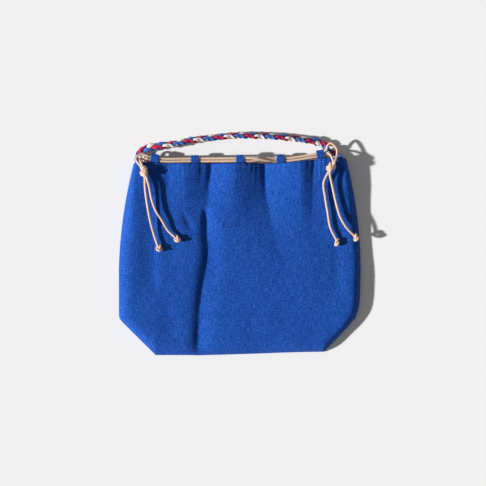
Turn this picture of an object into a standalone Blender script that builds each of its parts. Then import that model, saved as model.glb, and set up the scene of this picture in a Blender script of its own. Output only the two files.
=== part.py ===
"""Drawstring handbag with a braided handle, lying flat on its back.

The bag is two cloth panels sewn together at the sides, with a boxed base that is folded flat behind the back.
Its mouth points along +Y and its front faces +Z. The origin is on the flat back face that it rests on.
"""

import math

import bmesh
import bpy
from mathutils import Vector

# Bag body
BODY_WIDTH = 0.300
BASE_DEPTH = 0.090
HEM_Y = 0.1185
BOTTOM_Y = -0.118
MOUTH_TAPER = 0.018
TAPER_START_Y = -0.020
TAPER_LIMIT = 1.2
HEM_RISE_RIGHT = 0.0074
HEM_RISE_RIGHT_SPAN = (0.040, 0.128)
HEM_RISE_LEFT = 0.0015
HEM_RISE_LEFT_SPAN = (-0.090, -0.130)
BOTTOM_RISE_RIGHT = 0.004
BOTTOM_RISE_SPAN = (-0.060, 0.110)
LEFT_CORNER_BLEND = 0.002
RIGHT_CORNER_BLEND = 0.012

# Cloth
CLOTH = 0.0010
GAP = 0.0003

# How the front stands up from its seams
BELLY_HEIGHT = 0.0105
MOUTH_HEIGHT = 0.0152
SEAM_REACH_LEFT = 0.022
SEAM_REACH_RIGHT = 0.015
SEAM_REACH_SPAN = (0.020, 0.100)
MOUTH_SEAM_REACH = 0.008
REACH_START_Y = 0.040

# Front grid
FRONT_COLUMNS = 42
RIM_COLUMNS = (0.0, 0.0015, 0.0040)
RIM_WIDTH = 0.0080
CHAMFER_ROWS = 6
CHAMFER_ROW_SPREAD = 1.5
SIDE_ROWS = 16

# Gathers under the hem, left to right: place on the hem, lean, bend, height and reach down the front
GATHERS = (
    (-0.1180, 0.00, 0.0, 0.0000, 0.060),
    (-0.0889, 0.00, 0.0, -0.0014, 0.060),
    (-0.0667, -0.02, 0.0, 0.0012, 0.070),
    (-0.0389, -0.09, 0.0, -0.0030, 0.100),
    (-0.0040, -0.11, 0.0, 0.0026, 0.130),
    (0.0302, 0.015, 1.4, -0.0034, 0.120),
    (0.0740, 0.03, 0.0, 0.0030, 0.120),
    (0.0907, -0.03, 0.0, -0.0008, 0.045),
    (0.1030, 0.02, 0.0, 0.0009, 0.050),
    (0.1130, 0.00, 0.0, 0.0000, 0.060),
)
GATHER_ROUNDNESS = 0.6

# The main crease: the line of its bottom, and how it widens and deepens on its way down
CREASE_LINE = (
    (-0.0438, 0.0720), (-0.0432, 0.0494), (-0.0420, 0.0346), (-0.0396, 0.0123), (-0.0408, -0.0025),
    (-0.0451, -0.0247), (-0.0488, -0.0494), (-0.0506, -0.0741), (-0.0519, -0.0988), (-0.0525, -0.1250),
)
CREASE_DEPTH = 0.0020
CREASE_DEEPENS = (0.0690, 0.0460)
CREASE_WIDENS = (0.0640, 0.0150)
CREASE_LEFT_WIDTHS = (0.0022, 0.0062)
CREASE_RIGHT_WIDTHS = (0.0050, 0.0140)
CREASE_SHARPNESS = 1.5

# Softer folds: start, end, depth, width on the left of the line and width on its right
SOFT_FOLDS = (
    ((-0.0720, 0.062), (-0.0570, 0.036), 0.0016, 0.0060, 0.0050),
    ((0.1190, 0.040), (0.1200, -0.034), 0.0012, 0.0070, 0.0070),
)
FOLD_FADE = 0.022

# Back and base, which lie under the front
BACK_HEM_DROP = 0.004
BACK_HEM_LIFT = 0.0005
BACK_HEM_LIFT_START = 0.020
BACK_HEM_LIFT_END = 0.009
BACK_INSET = 0.0025
BACK_RAMP = 0.014
BACK_RAMP_CLEARANCE = 0.0015
LAYER_RISE_START = 0.006
LAYER_RISE_END = 0.001
LAYER_MARGIN = 0.006
STRIP_END_GAP = 0.0005
FOLD_STEPS = 6
STRIP_ROWS = 4
OVER_BASE_ROWS = 5
RAMP_ROWS = 5
FLAT_ROWS = 10
BASE_ROWS = 8
BACK_COLUMNS = 10

# Tabs
TAB_PLACES = (-0.1060, -0.0556, 0.0000, 0.0500, 0.1000)
TAB_TILTS = (-0.20, 0.0, 0.0, 0.0, 0.15)
TAB_WIDTH = 0.0095
TAB_CLOTH = 0.0009
TAB_STAND = 0.0110
TAB_LEG = 0.0080
TAB_LEG_GAP = 0.0004
TAB_RISE_START = 0.0004
TAB_RISE_END = 0.0022
TAB_BEND_STEPS = 6

# Drawstrings
CORD = 0.0028
CORD_CLEARANCE = 0.00045
NEAR_LANE = 0.0033
FAR_LANE = 0.0067
CROSSING_X = 0.024
CROSSING_LIFT = 0.0034
CROSSING_DIP = 0.0011
CROSSING_SHARES = ((0.25, 0.0, 0.75), (0.5, 0.5, 1.0), (0.75, 1.0, 0.75))
BESIDE_TAB = 0.55
RUN_STEP = 3.8
TAIL_STEP = 2.8
KNOT_LIFT = 0.0062

# Knots
LEFT_KNOT = (-0.1180, 0.1085)
RIGHT_KNOT = (0.1120, 0.1140)
LEFT_KNOT_AXIS = (0.35, -1.0, 0.0)
RIGHT_KNOT_AXIS = (-0.3, -1.0, 0.0)
CORD_SEAT = 0.0003
JOINING_KNOT_RADIUS = 0.0052
JOINING_KNOT_HALF_LENGTH = 0.0066
JOINING_KNOT_WRAPS = 3
END_KNOT_RADIUS = 0.0037
END_KNOT_HALF_LENGTH = 0.0042
END_KNOT_WRAPS = 2
WRAP_DEPTH = 0.12
KNOT_FULLNESS = 0.6
KNOT_STEPS = 12

# The way from each joining knot to its tabs: x, y and z
LEFT_FRONT_WAY = (
    (-0.1228, 0.1166, 0.0210), (-0.1262, 0.1206, 0.0190), (-0.1282, 0.1246, 0.0172),
    (-0.1250, 0.1288, 0.0164), (-0.1188, 0.1300, 0.0156), (-0.1140, 0.1284, 0.0151),
)
LEFT_BACK_WAY = (
    (-0.1196, 0.1176, 0.0212), (-0.1224, 0.1212, 0.0188), (-0.1236, 0.1240, 0.0150),
    (-0.1218, 0.1252, 0.0100), (-0.1180, 0.1240, 0.0052), (-0.1130, 0.1212, 0.0030),
)
LEFT_TURN = ((-0.1150, 0.1250, 0.0151), (-0.1186, 0.1220, 0.0090), (-0.1135, 0.1184, 0.0030))
RIGHT_FRONT_WAY = ((0.1072, 0.1320, 0.0152), (0.1108, 0.1296, 0.0184), (0.1130, 0.1242, 0.0208))
RIGHT_TURN = ((0.1078, 0.1284, 0.0144), (0.1116, 0.1262, 0.0084), (0.1080, 0.1238, 0.0033))
RIGHT_BACK_WAY = (
    (0.1068, 0.1288, 0.0038), (0.1100, 0.1298, 0.0058), (0.1090, 0.1312, 0.0104), (0.1066, 0.1345, 0.0146),
    (0.1076, 0.1400, 0.0162), (0.1116, 0.1440, 0.0168), (0.1162, 0.1408, 0.0170), (0.1194, 0.1352, 0.0172),
    (0.1190, 0.1284, 0.0192), (0.1164, 0.1226, 0.0214),
)

# Tails, from the joining knot to the end knot: x, y and height over the cloth
TAIL_A = (
    (-0.1168, 0.1012, 0.0060), (-0.1164, 0.0889, 0.0064), (-0.1138, 0.0684, 0.0068),
    (-0.1103, 0.0489, 0.0062), (-0.1062, 0.0326, 0.0046), (-0.1020, 0.0186, 0.0032),
)
TAIL_B = (
    (-0.1128, 0.1016, 0.0066), (-0.1116, 0.0909, 0.0072), (-0.1080, 0.0735, 0.0076), (-0.1030, 0.0601, 0.0072),
    (-0.0959, 0.0489, 0.0060), (-0.0888, 0.0367, 0.0044), (-0.0812, 0.0284, 0.0032),
)
TAIL_C = (
    (0.1066, 0.1072, 0.0052), (0.1028, 0.0951, 0.0044), (0.1048, 0.0765, 0.0040),
    (0.1079, 0.0580, 0.0040), (0.1110, 0.0407, 0.0036), (0.1176, 0.0262, 0.0032),
)
TAIL_D = (
    (0.1112, 0.1058, 0.0060), (0.1124, 0.0951, 0.0054), (0.1151, 0.0827, 0.0050), (0.1185, 0.0684, 0.0048),
    (0.1232, 0.0531, 0.0048), (0.1304, 0.0407, 0.0050), (0.1392, 0.0306, 0.0062),
)
TAILS = {"left_tail_long": TAIL_A, "left_tail_short": TAIL_B, "right_tail_inner": TAIL_C, "right_tail_outer": TAIL_D}

# Handle: the middle line of the braid
HANDLE_LINE = (
    (-0.1232, 0.1060, 0.0055), (-0.1246, 0.1130, 0.0056), (-0.1262, 0.1200, 0.0058), (-0.1264, 0.1262, 0.0062),
    (-0.1242, 0.1318, 0.0068), (-0.1190, 0.1366, 0.0074), (-0.1111, 0.1395, 0.0080), (-0.0988, 0.1414, 0.0082), (-0.0864, 0.1426, 0.0082),
    (-0.0741, 0.1457, 0.0082), (-0.0617, 0.1482, 0.0082), (-0.0494, 0.1498, 0.0082), (-0.0346, 0.1515, 0.0082),
    (-0.0185, 0.1531, 0.0082), (0.0000, 0.1541, 0.0082), (0.0123, 0.1539, 0.0082), (0.0272, 0.1534, 0.0082),
    (0.0432, 0.1527, 0.0082), (0.0593, 0.1510, 0.0082), (0.0741, 0.1494, 0.0080), (0.0864, 0.1480, 0.0078),
    (0.0963, 0.1457, 0.0076), (0.1049, 0.1412, 0.0074), (0.1136, 0.1368, 0.0070), (0.1196, 0.1322, 0.0064),
    (0.1222, 0.1262, 0.0060), (0.1222, 0.1195, 0.0057), (0.1206, 0.1120, 0.0055),
)
BRAID_REPEAT = 0.038
BRAID_PHASE = -0.025
BRAID_ROLL = 0.90
BRAID_FLAT_END = 0.030
BRAID_ROLLED_START = 0.070
BRAID_SWAY = 0.0035
BRAID_LIFT = 0.0025
STRAND = 0.0028
STRAND_STEP = 0.0042
STRAND_COLOURS = {"white": 0, "blue": 2, "red": 1}

# Colours
CLOTH_BLUE = (0.017, 0.081, 0.399, 1.0)
STRAND_BLUE = (0.060, 0.170, 0.580, 1.0)
STRAND_RED = (0.560, 0.022, 0.100, 1.0)
STRAND_WHITE = (0.780, 0.750, 0.700, 1.0)
CORD_TAN = (0.700, 0.500, 0.340, 1.0)


def clamp(value, low=0.0, high=1.0):
    return max(low, min(high, value))


def smooth_step(start, end, value):
    share = clamp((value - start) / (end - start))
    return share * share * (3.0 - 2.0 * share)


def soft_minimum(first, second, blend):
    return 0.5 * (first + second - math.hypot(first - second, blend))


def hem_line(x):
    """Height along Y of the front hem."""
    right = HEM_RISE_RIGHT * smooth_step(*HEM_RISE_RIGHT_SPAN, x)
    left = HEM_RISE_LEFT * smooth_step(*HEM_RISE_LEFT_SPAN, x)
    return HEM_Y + right + left


def bottom_line(x):
    """Place along Y of the fold between front and base."""
    return BOTTOM_Y + BOTTOM_RISE_RIGHT * smooth_step(*BOTTOM_RISE_SPAN, x)


def level_at(x, y):
    """The height at which a place of the front would lie if hem and bottom were both straight."""
    lowest = bottom_line(x) - BOTTOM_Y
    stretch = (hem_line(x) - HEM_Y - lowest) / (HEM_Y - BOTTOM_Y)
    return (y - lowest + stretch * BOTTOM_Y) / (1.0 + stretch)


def half_width(y, x):
    """Half the width of the body at height y, on the side that x is on."""
    rise = clamp((y - TAPER_START_Y) / (HEM_Y - TAPER_START_Y), 0.0, TAPER_LIMIT)
    side_edge = BODY_WIDTH / 2 - MOUTH_TAPER * rise * rise
    chamfer = (BODY_WIDTH - BASE_DEPTH) / 2 + (y - BOTTOM_Y)
    return soft_minimum(side_edge, chamfer, RIGHT_CORNER_BLEND if x > 0 else LEFT_CORNER_BLEND)


def layers_under(y, margin=0.0):
    """Top of the cloth that lies behind the front: the base, the folded end of the back and the back."""
    one_layer = CLOTH
    raised = 3 * CLOTH + 2 * GAP
    crease = BOTTOM_Y + BASE_DEPTH / 2
    top = BOTTOM_Y + BASE_DEPTH
    up = smooth_step(crease - LAYER_RISE_START - margin, crease - LAYER_RISE_END - margin, y)
    down = smooth_step(top + BACK_RAMP_CLEARANCE + margin, top + BACK_RAMP_CLEARANCE + BACK_RAMP + margin, y)
    return one_layer + (raised - one_layer) * up * (1.0 - down)


def fold_depth(x, y, fold):
    """How far one fold pulls the front down at a place."""
    start, end, depth, left_width, right_width = fold
    along = (Vector(end) - Vector(start))
    length = along.length
    along /= length
    offset = Vector((x, y)) - Vector(start)
    run = offset.dot(along)
    across = along.x * offset.y - along.y * offset.x
    width = right_width if across > 0 else left_width
    fade = smooth_step(0.0, FOLD_FADE, run) * smooth_step(length + FOLD_FADE, length - FOLD_FADE, run)
    return depth * fade * math.exp(-(across / width) ** 2)


def gathers(x, y):
    """The broad folds that run down from the hem, with sharp valleys and round crests."""
    below = max(0.0, hem_line(x) - y)
    lines = [
        (place + lean * below + bend * below ** 2, lift * smooth_step(reach, 0.0, below))
        for place, lean, bend, lift, reach in GATHERS
    ]
    for (left, left_height), (right, right_height) in zip(lines, lines[1:]):
        if left <= x < right:
            share = (x - left) / (right - left)
            if left_height < right_height:
                share += GATHER_ROUNDNESS * (math.sin(share * math.pi / 2) - share)
            else:
                share += GATHER_ROUNDNESS * (1.0 - share - math.sin((1.0 - share) * math.pi / 2))
            return left_height + (right_height - left_height) * share
    return 0.0


def crease_place(y):
    """Where the bottom of the main crease is at a height of the front."""
    for (upper_x, upper_y), (lower_x, lower_y) in zip(CREASE_LINE, CREASE_LINE[1:]):
        if y >= lower_y:
            return upper_x + (lower_x - upper_x) * clamp((upper_y - y) / (upper_y - lower_y))
    return CREASE_LINE[-1][0]


def main_crease(x, y):
    """How far the main crease pulls the front down: steep on its left, gentle on its right."""
    across = x - crease_place(y)
    widened = smooth_step(*CREASE_WIDENS, y)
    narrow, wide = CREASE_LEFT_WIDTHS if across < 0 else CREASE_RIGHT_WIDTHS
    share = abs(across) / (narrow + (wide - narrow) * widened)
    return CREASE_DEPTH * smooth_step(*CREASE_DEEPENS, y) * math.exp(-share ** CREASE_SHARPNESS)


def front_height(x, y):
    """Height of the outer face of the front."""
    level = level_at(x, y)
    inside = max(0.0, min(half_width(level, x) - abs(x), level - BOTTOM_Y))
    reach = SEAM_REACH_LEFT + (SEAM_REACH_RIGHT - SEAM_REACH_LEFT) * smooth_step(*SEAM_REACH_SPAN, x)
    reach += (MOUTH_SEAM_REACH - reach) * smooth_step(REACH_START_Y, HEM_Y, y)
    rounding = 1.0 - (1.0 - clamp(inside / reach)) ** 3
    full = BELLY_HEIGHT + (MOUTH_HEIGHT - BELLY_HEIGHT) * smooth_step(0.0, HEM_Y, y)
    folds = main_crease(x, y) + sum(fold_depth(x, y, fold) for fold in SOFT_FOLDS)
    seam = layers_under(y, LAYER_MARGIN) + GAP + CLOTH
    return seam + rounding * max(0.0, full + gathers(x, y) - folds)


def under_width(y, x, on_flap):
    """Half the width of the cloth behind the front, which stays just inside the front's edge."""
    crease = BOTTOM_Y + BASE_DEPTH / 2
    width = half_width(max(y, crease) if not on_flap else y, x)
    if on_flap and y > crease:
        width = min(width, BODY_WIDTH / 2 - (y - crease))
    return width - BACK_INSET


def back_height(y):
    """Height of the middle of the back's cloth."""
    hem = HEM_Y - BACK_HEM_DROP
    lift = BACK_HEM_LIFT * smooth_step(hem - BACK_HEM_LIFT_START, hem - BACK_HEM_LIFT_END, y)
    return layers_under(y) - CLOTH / 2 + lift


def material(name, colour, roughness):
    shade = bpy.data.materials.new(name)
    shade.use_nodes = True
    principled = shade.node_tree.nodes["Principled BSDF"]
    principled.inputs["Base Color"].default_value = colour
    principled.inputs["Roughness"].default_value = roughness
    principled.inputs["Metallic"].default_value = 0.0
    return shade


def add_object(name, data, shade):
    data.materials.append(shade)
    piece = bpy.data.objects.new(name, data)
    bpy.data.collections["drawstring_handbag"].objects.link(piece)
    return piece


def cloth_from_grid(name, rows, thickness, offset, shade):
    """One piece of cloth through a grid of points, given its thickness by Solidify."""
    columns = len(rows[0])
    mesh_builder = bmesh.new()
    vertices = [[mesh_builder.verts.new(point) for point in row] for row in rows]
    for lower, upper in zip(vertices, vertices[1:]):
        for column in range(columns - 1):
            mesh_builder.faces.new((lower[column], lower[column + 1], upper[column + 1], upper[column]))
    mesh = bpy.data.meshes.new(name)
    mesh_builder.to_mesh(mesh)
    mesh_builder.free()
    mesh.shade_smooth()
    piece = add_object(name, mesh, shade)
    solidify = piece.modifiers.new("cloth", "SOLIDIFY")
    solidify.thickness = thickness
    solidify.offset = offset
    return piece


def front_columns(width):
    """Places across the front: close together at its two rims and even between them."""
    inner = width - RIM_WIDTH
    left = [-width + inset for inset in RIM_COLUMNS]
    middle = [inner * (2 * step / FRONT_COLUMNS - 1) for step in range(FRONT_COLUMNS + 1)]
    right = [width - inset for inset in reversed(RIM_COLUMNS)]
    return [*left, *middle, *right]


def build_front(shade):
    chamfer_top = BOTTOM_Y + BASE_DEPTH / 2
    shares = [(row / CHAMFER_ROWS) ** CHAMFER_ROW_SPREAD for row in range(CHAMFER_ROWS)]
    heights = [BOTTOM_Y + BASE_DEPTH / 2 * share for share in shares]
    heights += [chamfer_top + (HEM_Y - chamfer_top) * row / SIDE_ROWS for row in range(SIDE_ROWS + 1)]
    rows = []
    for level in heights:
        share_up = (level - BOTTOM_Y) / (HEM_Y - BOTTOM_Y)
        row = []
        left_half = half_width(level, -1.0)
        right_half = half_width(level, 1.0)
        for place in front_columns((left_half + right_half) / 2):
            x = place + (right_half - left_half) / 2
            lowest = bottom_line(x) - BOTTOM_Y
            highest = hem_line(x) - HEM_Y
            y = level + lowest * (1.0 - share_up) + highest * share_up
            row.append((x, y, front_height(x, y)))
        rows.append(row)
    return cloth_from_grid("front_panel", rows, CLOTH, -1.0, shade)


def build_back(shade):
    """The back, from its hem down to the crease and up again to the seam with the base."""
    crease = BOTTOM_Y + BASE_DEPTH / 2
    base_top = BOTTOM_Y + BASE_DEPTH
    hem = HEM_Y - BACK_HEM_DROP
    fold_radius = (CLOTH + GAP) / 2
    upper = 3 * CLOTH + 2 * GAP - CLOTH / 2
    section = []
    strip = upper - 2 * fold_radius
    strip_end = base_top - STRIP_END_GAP
    for step in range(STRIP_ROWS + 1):
        section.append((strip_end - (strip_end - crease) * step / STRIP_ROWS, strip, True))
    for step in range(1, FOLD_STEPS):
        angle = math.pi * step / FOLD_STEPS
        section.append((crease - fold_radius * math.sin(angle), upper - fold_radius * (1 + math.cos(angle)), False))
    for step in range(OVER_BASE_ROWS + 1):
        y = crease + (base_top + BACK_RAMP_CLEARANCE - crease) * step / OVER_BASE_ROWS
        section.append((y, upper, False))
    ramp_start = base_top + BACK_RAMP_CLEARANCE
    for step in range(1, RAMP_ROWS + 1):
        y = ramp_start + BACK_RAMP * step / RAMP_ROWS
        section.append((y, back_height(y), False))
    flat_start = ramp_start + BACK_RAMP
    for step in range(1, FLAT_ROWS + 1):
        y = flat_start + (hem - flat_start) * step / FLAT_ROWS
        section.append((y, back_height(y), False))
    rows = []
    for y, z, on_flap in section:
        left = -under_width(y, -1.0, on_flap)
        right = under_width(y, 1.0, on_flap)
        share_up = clamp((y - flat_start) / (hem - flat_start))
        row = []
        for column in range(BACK_COLUMNS + 1):
            x = left + (right - left) * column / BACK_COLUMNS
            row.append((x, y + share_up * (hem_line(x) - HEM_Y), z))
        rows.append(row)
    return cloth_from_grid("back_panel", rows, CLOTH, 0.0, shade)


def build_base(shade):
    """The boxed base, a six-cornered flap folded flat behind the back."""
    rows = []
    for step in range(BASE_ROWS + 1):
        y = BOTTOM_Y + BASE_DEPTH * step / BASE_ROWS
        left = -under_width(y, -1.0, True)
        right = under_width(y, 1.0, True)
        row = []
        for column in range(BACK_COLUMNS + 1):
            x = left + (right - left) * column / BACK_COLUMNS
            y_here = y + (bottom_line(x) - BOTTOM_Y) * (1.0 - step / BASE_ROWS)
            row.append((x, y_here, CLOTH / 2))
        rows.append(row)
    return cloth_from_grid("base_panel", rows, CLOTH, 0.0, shade)


def tab_section():
    """The middle line of a tab's cloth: distance beyond the hem, and height from the cord's middle."""
    leg = (TAB_CLOTH + TAB_LEG_GAP) / 2
    bulge = CORD / 2 + CORD_CLEARANCE + TAB_CLOTH / 2
    inner_end = TAB_STAND - TAB_CLOTH / 2 - bulge
    rise_middle = (TAB_RISE_START + TAB_RISE_END) / 2
    upper = [(-TAB_LEG, leg), (TAB_RISE_START, leg), (rise_middle, (leg + bulge) / 2), (TAB_RISE_END, bulge)]
    bend = []
    for step in range(TAB_BEND_STEPS + 1):
        angle = math.pi * (0.5 - step / TAB_BEND_STEPS)
        bend.append((inner_end + bulge * math.cos(angle), bulge * math.sin(angle)))
    lower = [(along, -height) for along, height in reversed(upper)]
    return upper + bend + lower


def lowest_front_near(place, tilt):
    """Lowest height of the front's outer face over the legs of a tab."""
    heights = []
    for across in (-0.5, 0.0, 0.5):
        for back in (0.0, 0.5, 1.0):
            x = place + across * TAB_WIDTH * math.cos(tilt) + back * TAB_LEG * math.sin(tilt)
            y = hem_line(x) - back * TAB_LEG
            heights.append(front_height(x, y))
    return min(heights)


def tab_frames():
    """Place, tilt and cord height of every tab, on the front and on the back."""
    frames = []
    leg_stack = GAP + TAB_CLOTH + TAB_LEG_GAP / 2
    for number, (place, tilt) in enumerate(zip(TAB_PLACES, TAB_TILTS), start=1):
        cord_z = lowest_front_near(place, tilt) - CLOTH - leg_stack
        y = hem_line(place) + 0.5 * TAB_WIDTH * abs(math.sin(tilt))
        frames.append((f"front_tab_{number}", place, y, tilt, cord_z))
    for number, place in enumerate(TAB_PLACES, start=1):
        y = max(hem_line(place - TAB_WIDTH / 2), hem_line(place + TAB_WIDTH / 2)) - BACK_HEM_DROP
        cord_z = CLOTH + BACK_HEM_LIFT + leg_stack
        frames.append((f"back_tab_{number}", place, y, 0.0, cord_z))
    return frames


def build_tabs(shade):
    for name, x, y, tilt, cord_z in tab_frames():
        rows = []
        for along, height in tab_section():
            row = []
            for side in (-0.5, 0.5):
                across = side * TAB_WIDTH
                across_x = across * math.cos(tilt) - along * math.sin(tilt)
                along_y = across * math.sin(tilt) + along * math.cos(tilt)
                row.append((x + across_x, y + along_y, cord_z + height))
            rows.append(row)
        cloth_from_grid(name, rows, TAB_CLOTH, 0.0, shade)


def smooth_route(points, spacing):
    """A smooth curve through the route's own points, with further points at most one spacing apart."""
    places = [Vector(point) for point in points]
    slopes = [(end - start).normalized() for start, end in zip(places, places[1:])]
    tangents = [slopes[0]]
    tangents += [(before + after) / 2 for before, after in zip(slopes, slopes[1:])]
    tangents.append(slopes[-1])
    route = []
    for number, (start, end) in enumerate(zip(places, places[1:])):
        length = (end - start).length
        steps = math.ceil(length / spacing)
        for step in range(steps):
            t = step / steps
            route.append(
                start * (2 * t ** 3 - 3 * t ** 2 + 1)
                + tangents[number] * length * (t ** 3 - 2 * t ** 2 + t)
                + end * (3 * t ** 2 - 2 * t ** 3)
                + tangents[number + 1] * length * (t ** 3 - t ** 2)
            )
    route.append(places[-1])
    return route


def tube(name, points, radius, shade, bevel_resolution=2):
    curve = bpy.data.curves.new(name, "CURVE")
    curve.dimensions = "3D"
    curve.bevel_depth = radius
    curve.bevel_resolution = bevel_resolution
    curve.use_fill_caps = True
    spline = curve.splines.new("POLY")
    spline.points.add(len(points) - 1)
    for target, point in zip(spline.points, points):
        target.co = (*point, 1.0)
    spline.use_smooth = True
    return add_object(name, curve, shade)


def knot_profile(radius, half_length, wraps):
    """Half the outline of a knot: distance from its axis and place along it."""
    steps = 3 * wraps + 3
    profile = []
    for step in range(steps + 1):
        angle = math.pi * step / steps
        rib = 1.0 - WRAP_DEPTH * (0.5 + 0.5 * math.cos(2 * math.pi * wraps * step / steps))
        out = 0.0 if step in (0, steps) else radius * rib * math.sin(angle) ** KNOT_FULLNESS
        profile.append((out, half_length * math.cos(angle)))
    return profile


def joining_knot(side):
    """Middle and axis of a joining knot."""
    if side == "left":
        return over_cloth(*LEFT_KNOT, KNOT_LIFT), Vector(LEFT_KNOT_AXIS).normalized()
    return over_cloth(*RIGHT_KNOT, KNOT_LIFT), Vector(RIGHT_KNOT_AXIS).normalized()


def seated(route, side):
    """The route with its first point moved onto the skin of the joining knot."""
    centre, axis = joining_knot(side)
    away = (Vector(route[0]) - centre).normalized()
    slant = away.angle(axis)
    profile = knot_profile(JOINING_KNOT_RADIUS, JOINING_KNOT_HALF_LENGTH, JOINING_KNOT_WRAPS)
    out, along = min(profile, key=lambda point: abs(math.atan2(point[0], point[1]) - slant))
    reach = math.hypot(out, along) + GAP + CORD_SEAT
    return [centre + away * reach, *route[1:]]


def lane_point(frame, lane, across=0.0):
    """A point of a cord inside a tab."""
    _, x, y, tilt, cord_z = frame
    return (
        x + across * math.cos(tilt) - lane * math.sin(tilt),
        y + across * math.sin(tilt) + lane * math.cos(tilt),
        cord_z,
    )


def run_through(tabs, left_lane, right_lane, lift):
    """A cord's way through one row of tabs, from left to right, which changes lanes at the crossing."""
    points = []
    for frame in tabs:
        lane = left_lane if frame[1] < CROSSING_X else right_lane
        for across in (-BESIDE_TAB, BESIDE_TAB):
            points.append(lane_point(frame, lane, across * TAB_WIDTH))
    first_after = 2 * sum(1 for frame in tabs if frame[1] < CROSSING_X)
    before = Vector(points[first_after - 1])
    after = Vector(points[first_after])
    crossing = []
    for share, part_across, part_lift in CROSSING_SHARES:
        lane = left_lane + (right_lane - left_lane) * part_across
        straight = before.lerp(after, share)
        straight_lane = left_lane + (right_lane - left_lane) * share
        crossing.append((straight.x, straight.y + lane - straight_lane, straight.z + lift * part_lift))
    return points[:first_after] + crossing + points[first_after:]


def drawstring_routes():
    frames = tab_frames()
    front = frames[:len(TAB_PLACES)]
    back = frames[len(TAB_PLACES):]
    left_front = run_through(front, FAR_LANE, NEAR_LANE, CROSSING_LIFT)
    left_back = run_through(back, FAR_LANE, NEAR_LANE, CROSSING_LIFT - CROSSING_DIP)
    right_front = run_through(front, NEAR_LANE, FAR_LANE, 0.0)
    right_back = run_through(back, NEAR_LANE, FAR_LANE, -CROSSING_DIP)
    left_start = seated(LEFT_FRONT_WAY, "left")
    left_end = seated(LEFT_BACK_WAY, "left")
    right_start = seated(list(reversed(RIGHT_FRONT_WAY)), "right")
    right_end = seated(list(reversed(RIGHT_BACK_WAY)), "right")
    left = [*left_start, *left_front, *RIGHT_TURN, *reversed(left_back), *reversed(left_end)]
    right = [*right_start, *reversed(right_front), *LEFT_TURN, *right_back, *reversed(right_end)]
    return {"drawstring_left": left, "drawstring_right": right}


def build_drawstrings(shade):
    for name, route in drawstring_routes().items():
        tube(name, smooth_route(route, RUN_STEP * CORD), CORD / 2, shade)


def over_cloth(x, y, lift):
    return Vector((x, y, front_height(x, y) + lift))


def build_tails(shade):
    for name, points in TAILS.items():
        route = seated([over_cloth(*point) for point in points], name.split("_")[0])
        tube(name, smooth_route(route, TAIL_STEP * CORD), CORD / 2, shade)


def knot(name, centre, direction, radius, half_length, wraps, shade):
    """A tied knot as a turned barrel with one rounded rib for each wrap of the cord."""
    mesh_builder = bmesh.new()
    outline = knot_profile(radius, half_length, wraps)
    profile = [mesh_builder.verts.new((out, 0.0, along)) for out, along in outline]
    for start, end in zip(profile, profile[1:]):
        mesh_builder.edges.new((start, end))
    mesh = bpy.data.meshes.new(name)
    mesh_builder.to_mesh(mesh)
    mesh_builder.free()
    piece = add_object(name, mesh, shade)
    piece.location = centre
    piece.rotation_mode = "QUATERNION"
    piece.rotation_quaternion = Vector(direction).to_track_quat("Z", "Y")
    screw = piece.modifiers.new("turn", "SCREW")
    screw.steps = KNOT_STEPS
    screw.render_steps = KNOT_STEPS
    screw.use_merge_vertices = True
    screw.merge_threshold = 0.00001
    screw.use_smooth_shade = True
    return piece


def build_knots(shade):
    size = (JOINING_KNOT_RADIUS, JOINING_KNOT_HALF_LENGTH, JOINING_KNOT_WRAPS)
    for side in ("left", "right"):
        knot(f"{side}_joining_knot", *joining_knot(side), *size, shade)
    for tail, points in TAILS.items():
        last = over_cloth(*points[-1])
        direction = (last - over_cloth(*points[-2])).normalized()
        centre = last + direction * (END_KNOT_HALF_LENGTH + GAP)
        beside = centre.x - math.copysign(END_KNOT_RADIUS, centre.x)
        floor = max(front_height(centre.x, centre.y), front_height(beside, centre.y)) + END_KNOT_RADIUS + GAP
        centre.z = max(centre.z, floor)
        name = tail.replace("tail", "end_knot")
        knot(name, centre, direction, END_KNOT_RADIUS, END_KNOT_HALF_LENGTH, END_KNOT_WRAPS, shade)


def braid_strand(line, number):
    """One strand of the three-strand braid, which lies flat at its two ends and is rolled over between them."""
    route = []
    distance = 0.0
    length = sum((end - start).length for start, end in zip(line, line[1:]))
    for index, point in enumerate(line):
        ahead = line[min(index + 1, len(line) - 1)]
        behind = line[max(index - 1, 0)]
        along = (ahead - behind).normalized()
        sideways = Vector((0.0, 0.0, 1.0)).cross(along).normalized()
        upwards = along.cross(sideways)
        roll = BRAID_ROLL * smooth_step(BRAID_FLAT_END, BRAID_ROLLED_START, min(distance, length - distance))
        sideways, upwards = (
            sideways * math.cos(roll) - upwards * math.sin(roll),
            upwards * math.cos(roll) + sideways * math.sin(roll),
        )
        turn = 2 * math.pi * (distance / BRAID_REPEAT + BRAID_PHASE + number / 3)
        sway = BRAID_SWAY * math.sin(turn)
        lift = BRAID_LIFT * math.sin(2 * turn)
        route.append(point + sideways * sway + upwards * lift)
        distance += (ahead - point).length
    return route


def build_handle(shades):
    line = smooth_route(HANDLE_LINE, STRAND_STEP)
    for colour, number in STRAND_COLOURS.items():
        tube(f"handle_strand_{colour}", braid_strand(line, number), STRAND / 2, shades[colour], 1)


def clear_scene():
    for old in list(bpy.data.objects):
        bpy.data.objects.remove(old)
    collection = bpy.data.collections.new("drawstring_handbag")
    bpy.context.scene.collection.children.link(collection)


def main():
    clear_scene()
    cloth = material("blue_linen", CLOTH_BLUE, 0.9)
    cord = material("tan_cord", CORD_TAN, 0.7)
    strands = {
        "white": material("white_fabric_strip", STRAND_WHITE, 0.85),
        "blue": material("blue_fabric_strip", STRAND_BLUE, 0.85),
        "red": material("crimson_fabric_strip", STRAND_RED, 0.85),
    }
    build_front(cloth)
    build_back(cloth)
    build_base(cloth)
    build_tabs(cloth)
    build_drawstrings(cord)
    build_tails(cord)
    build_knots(cord)
    build_handle(strands)


main()
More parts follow.
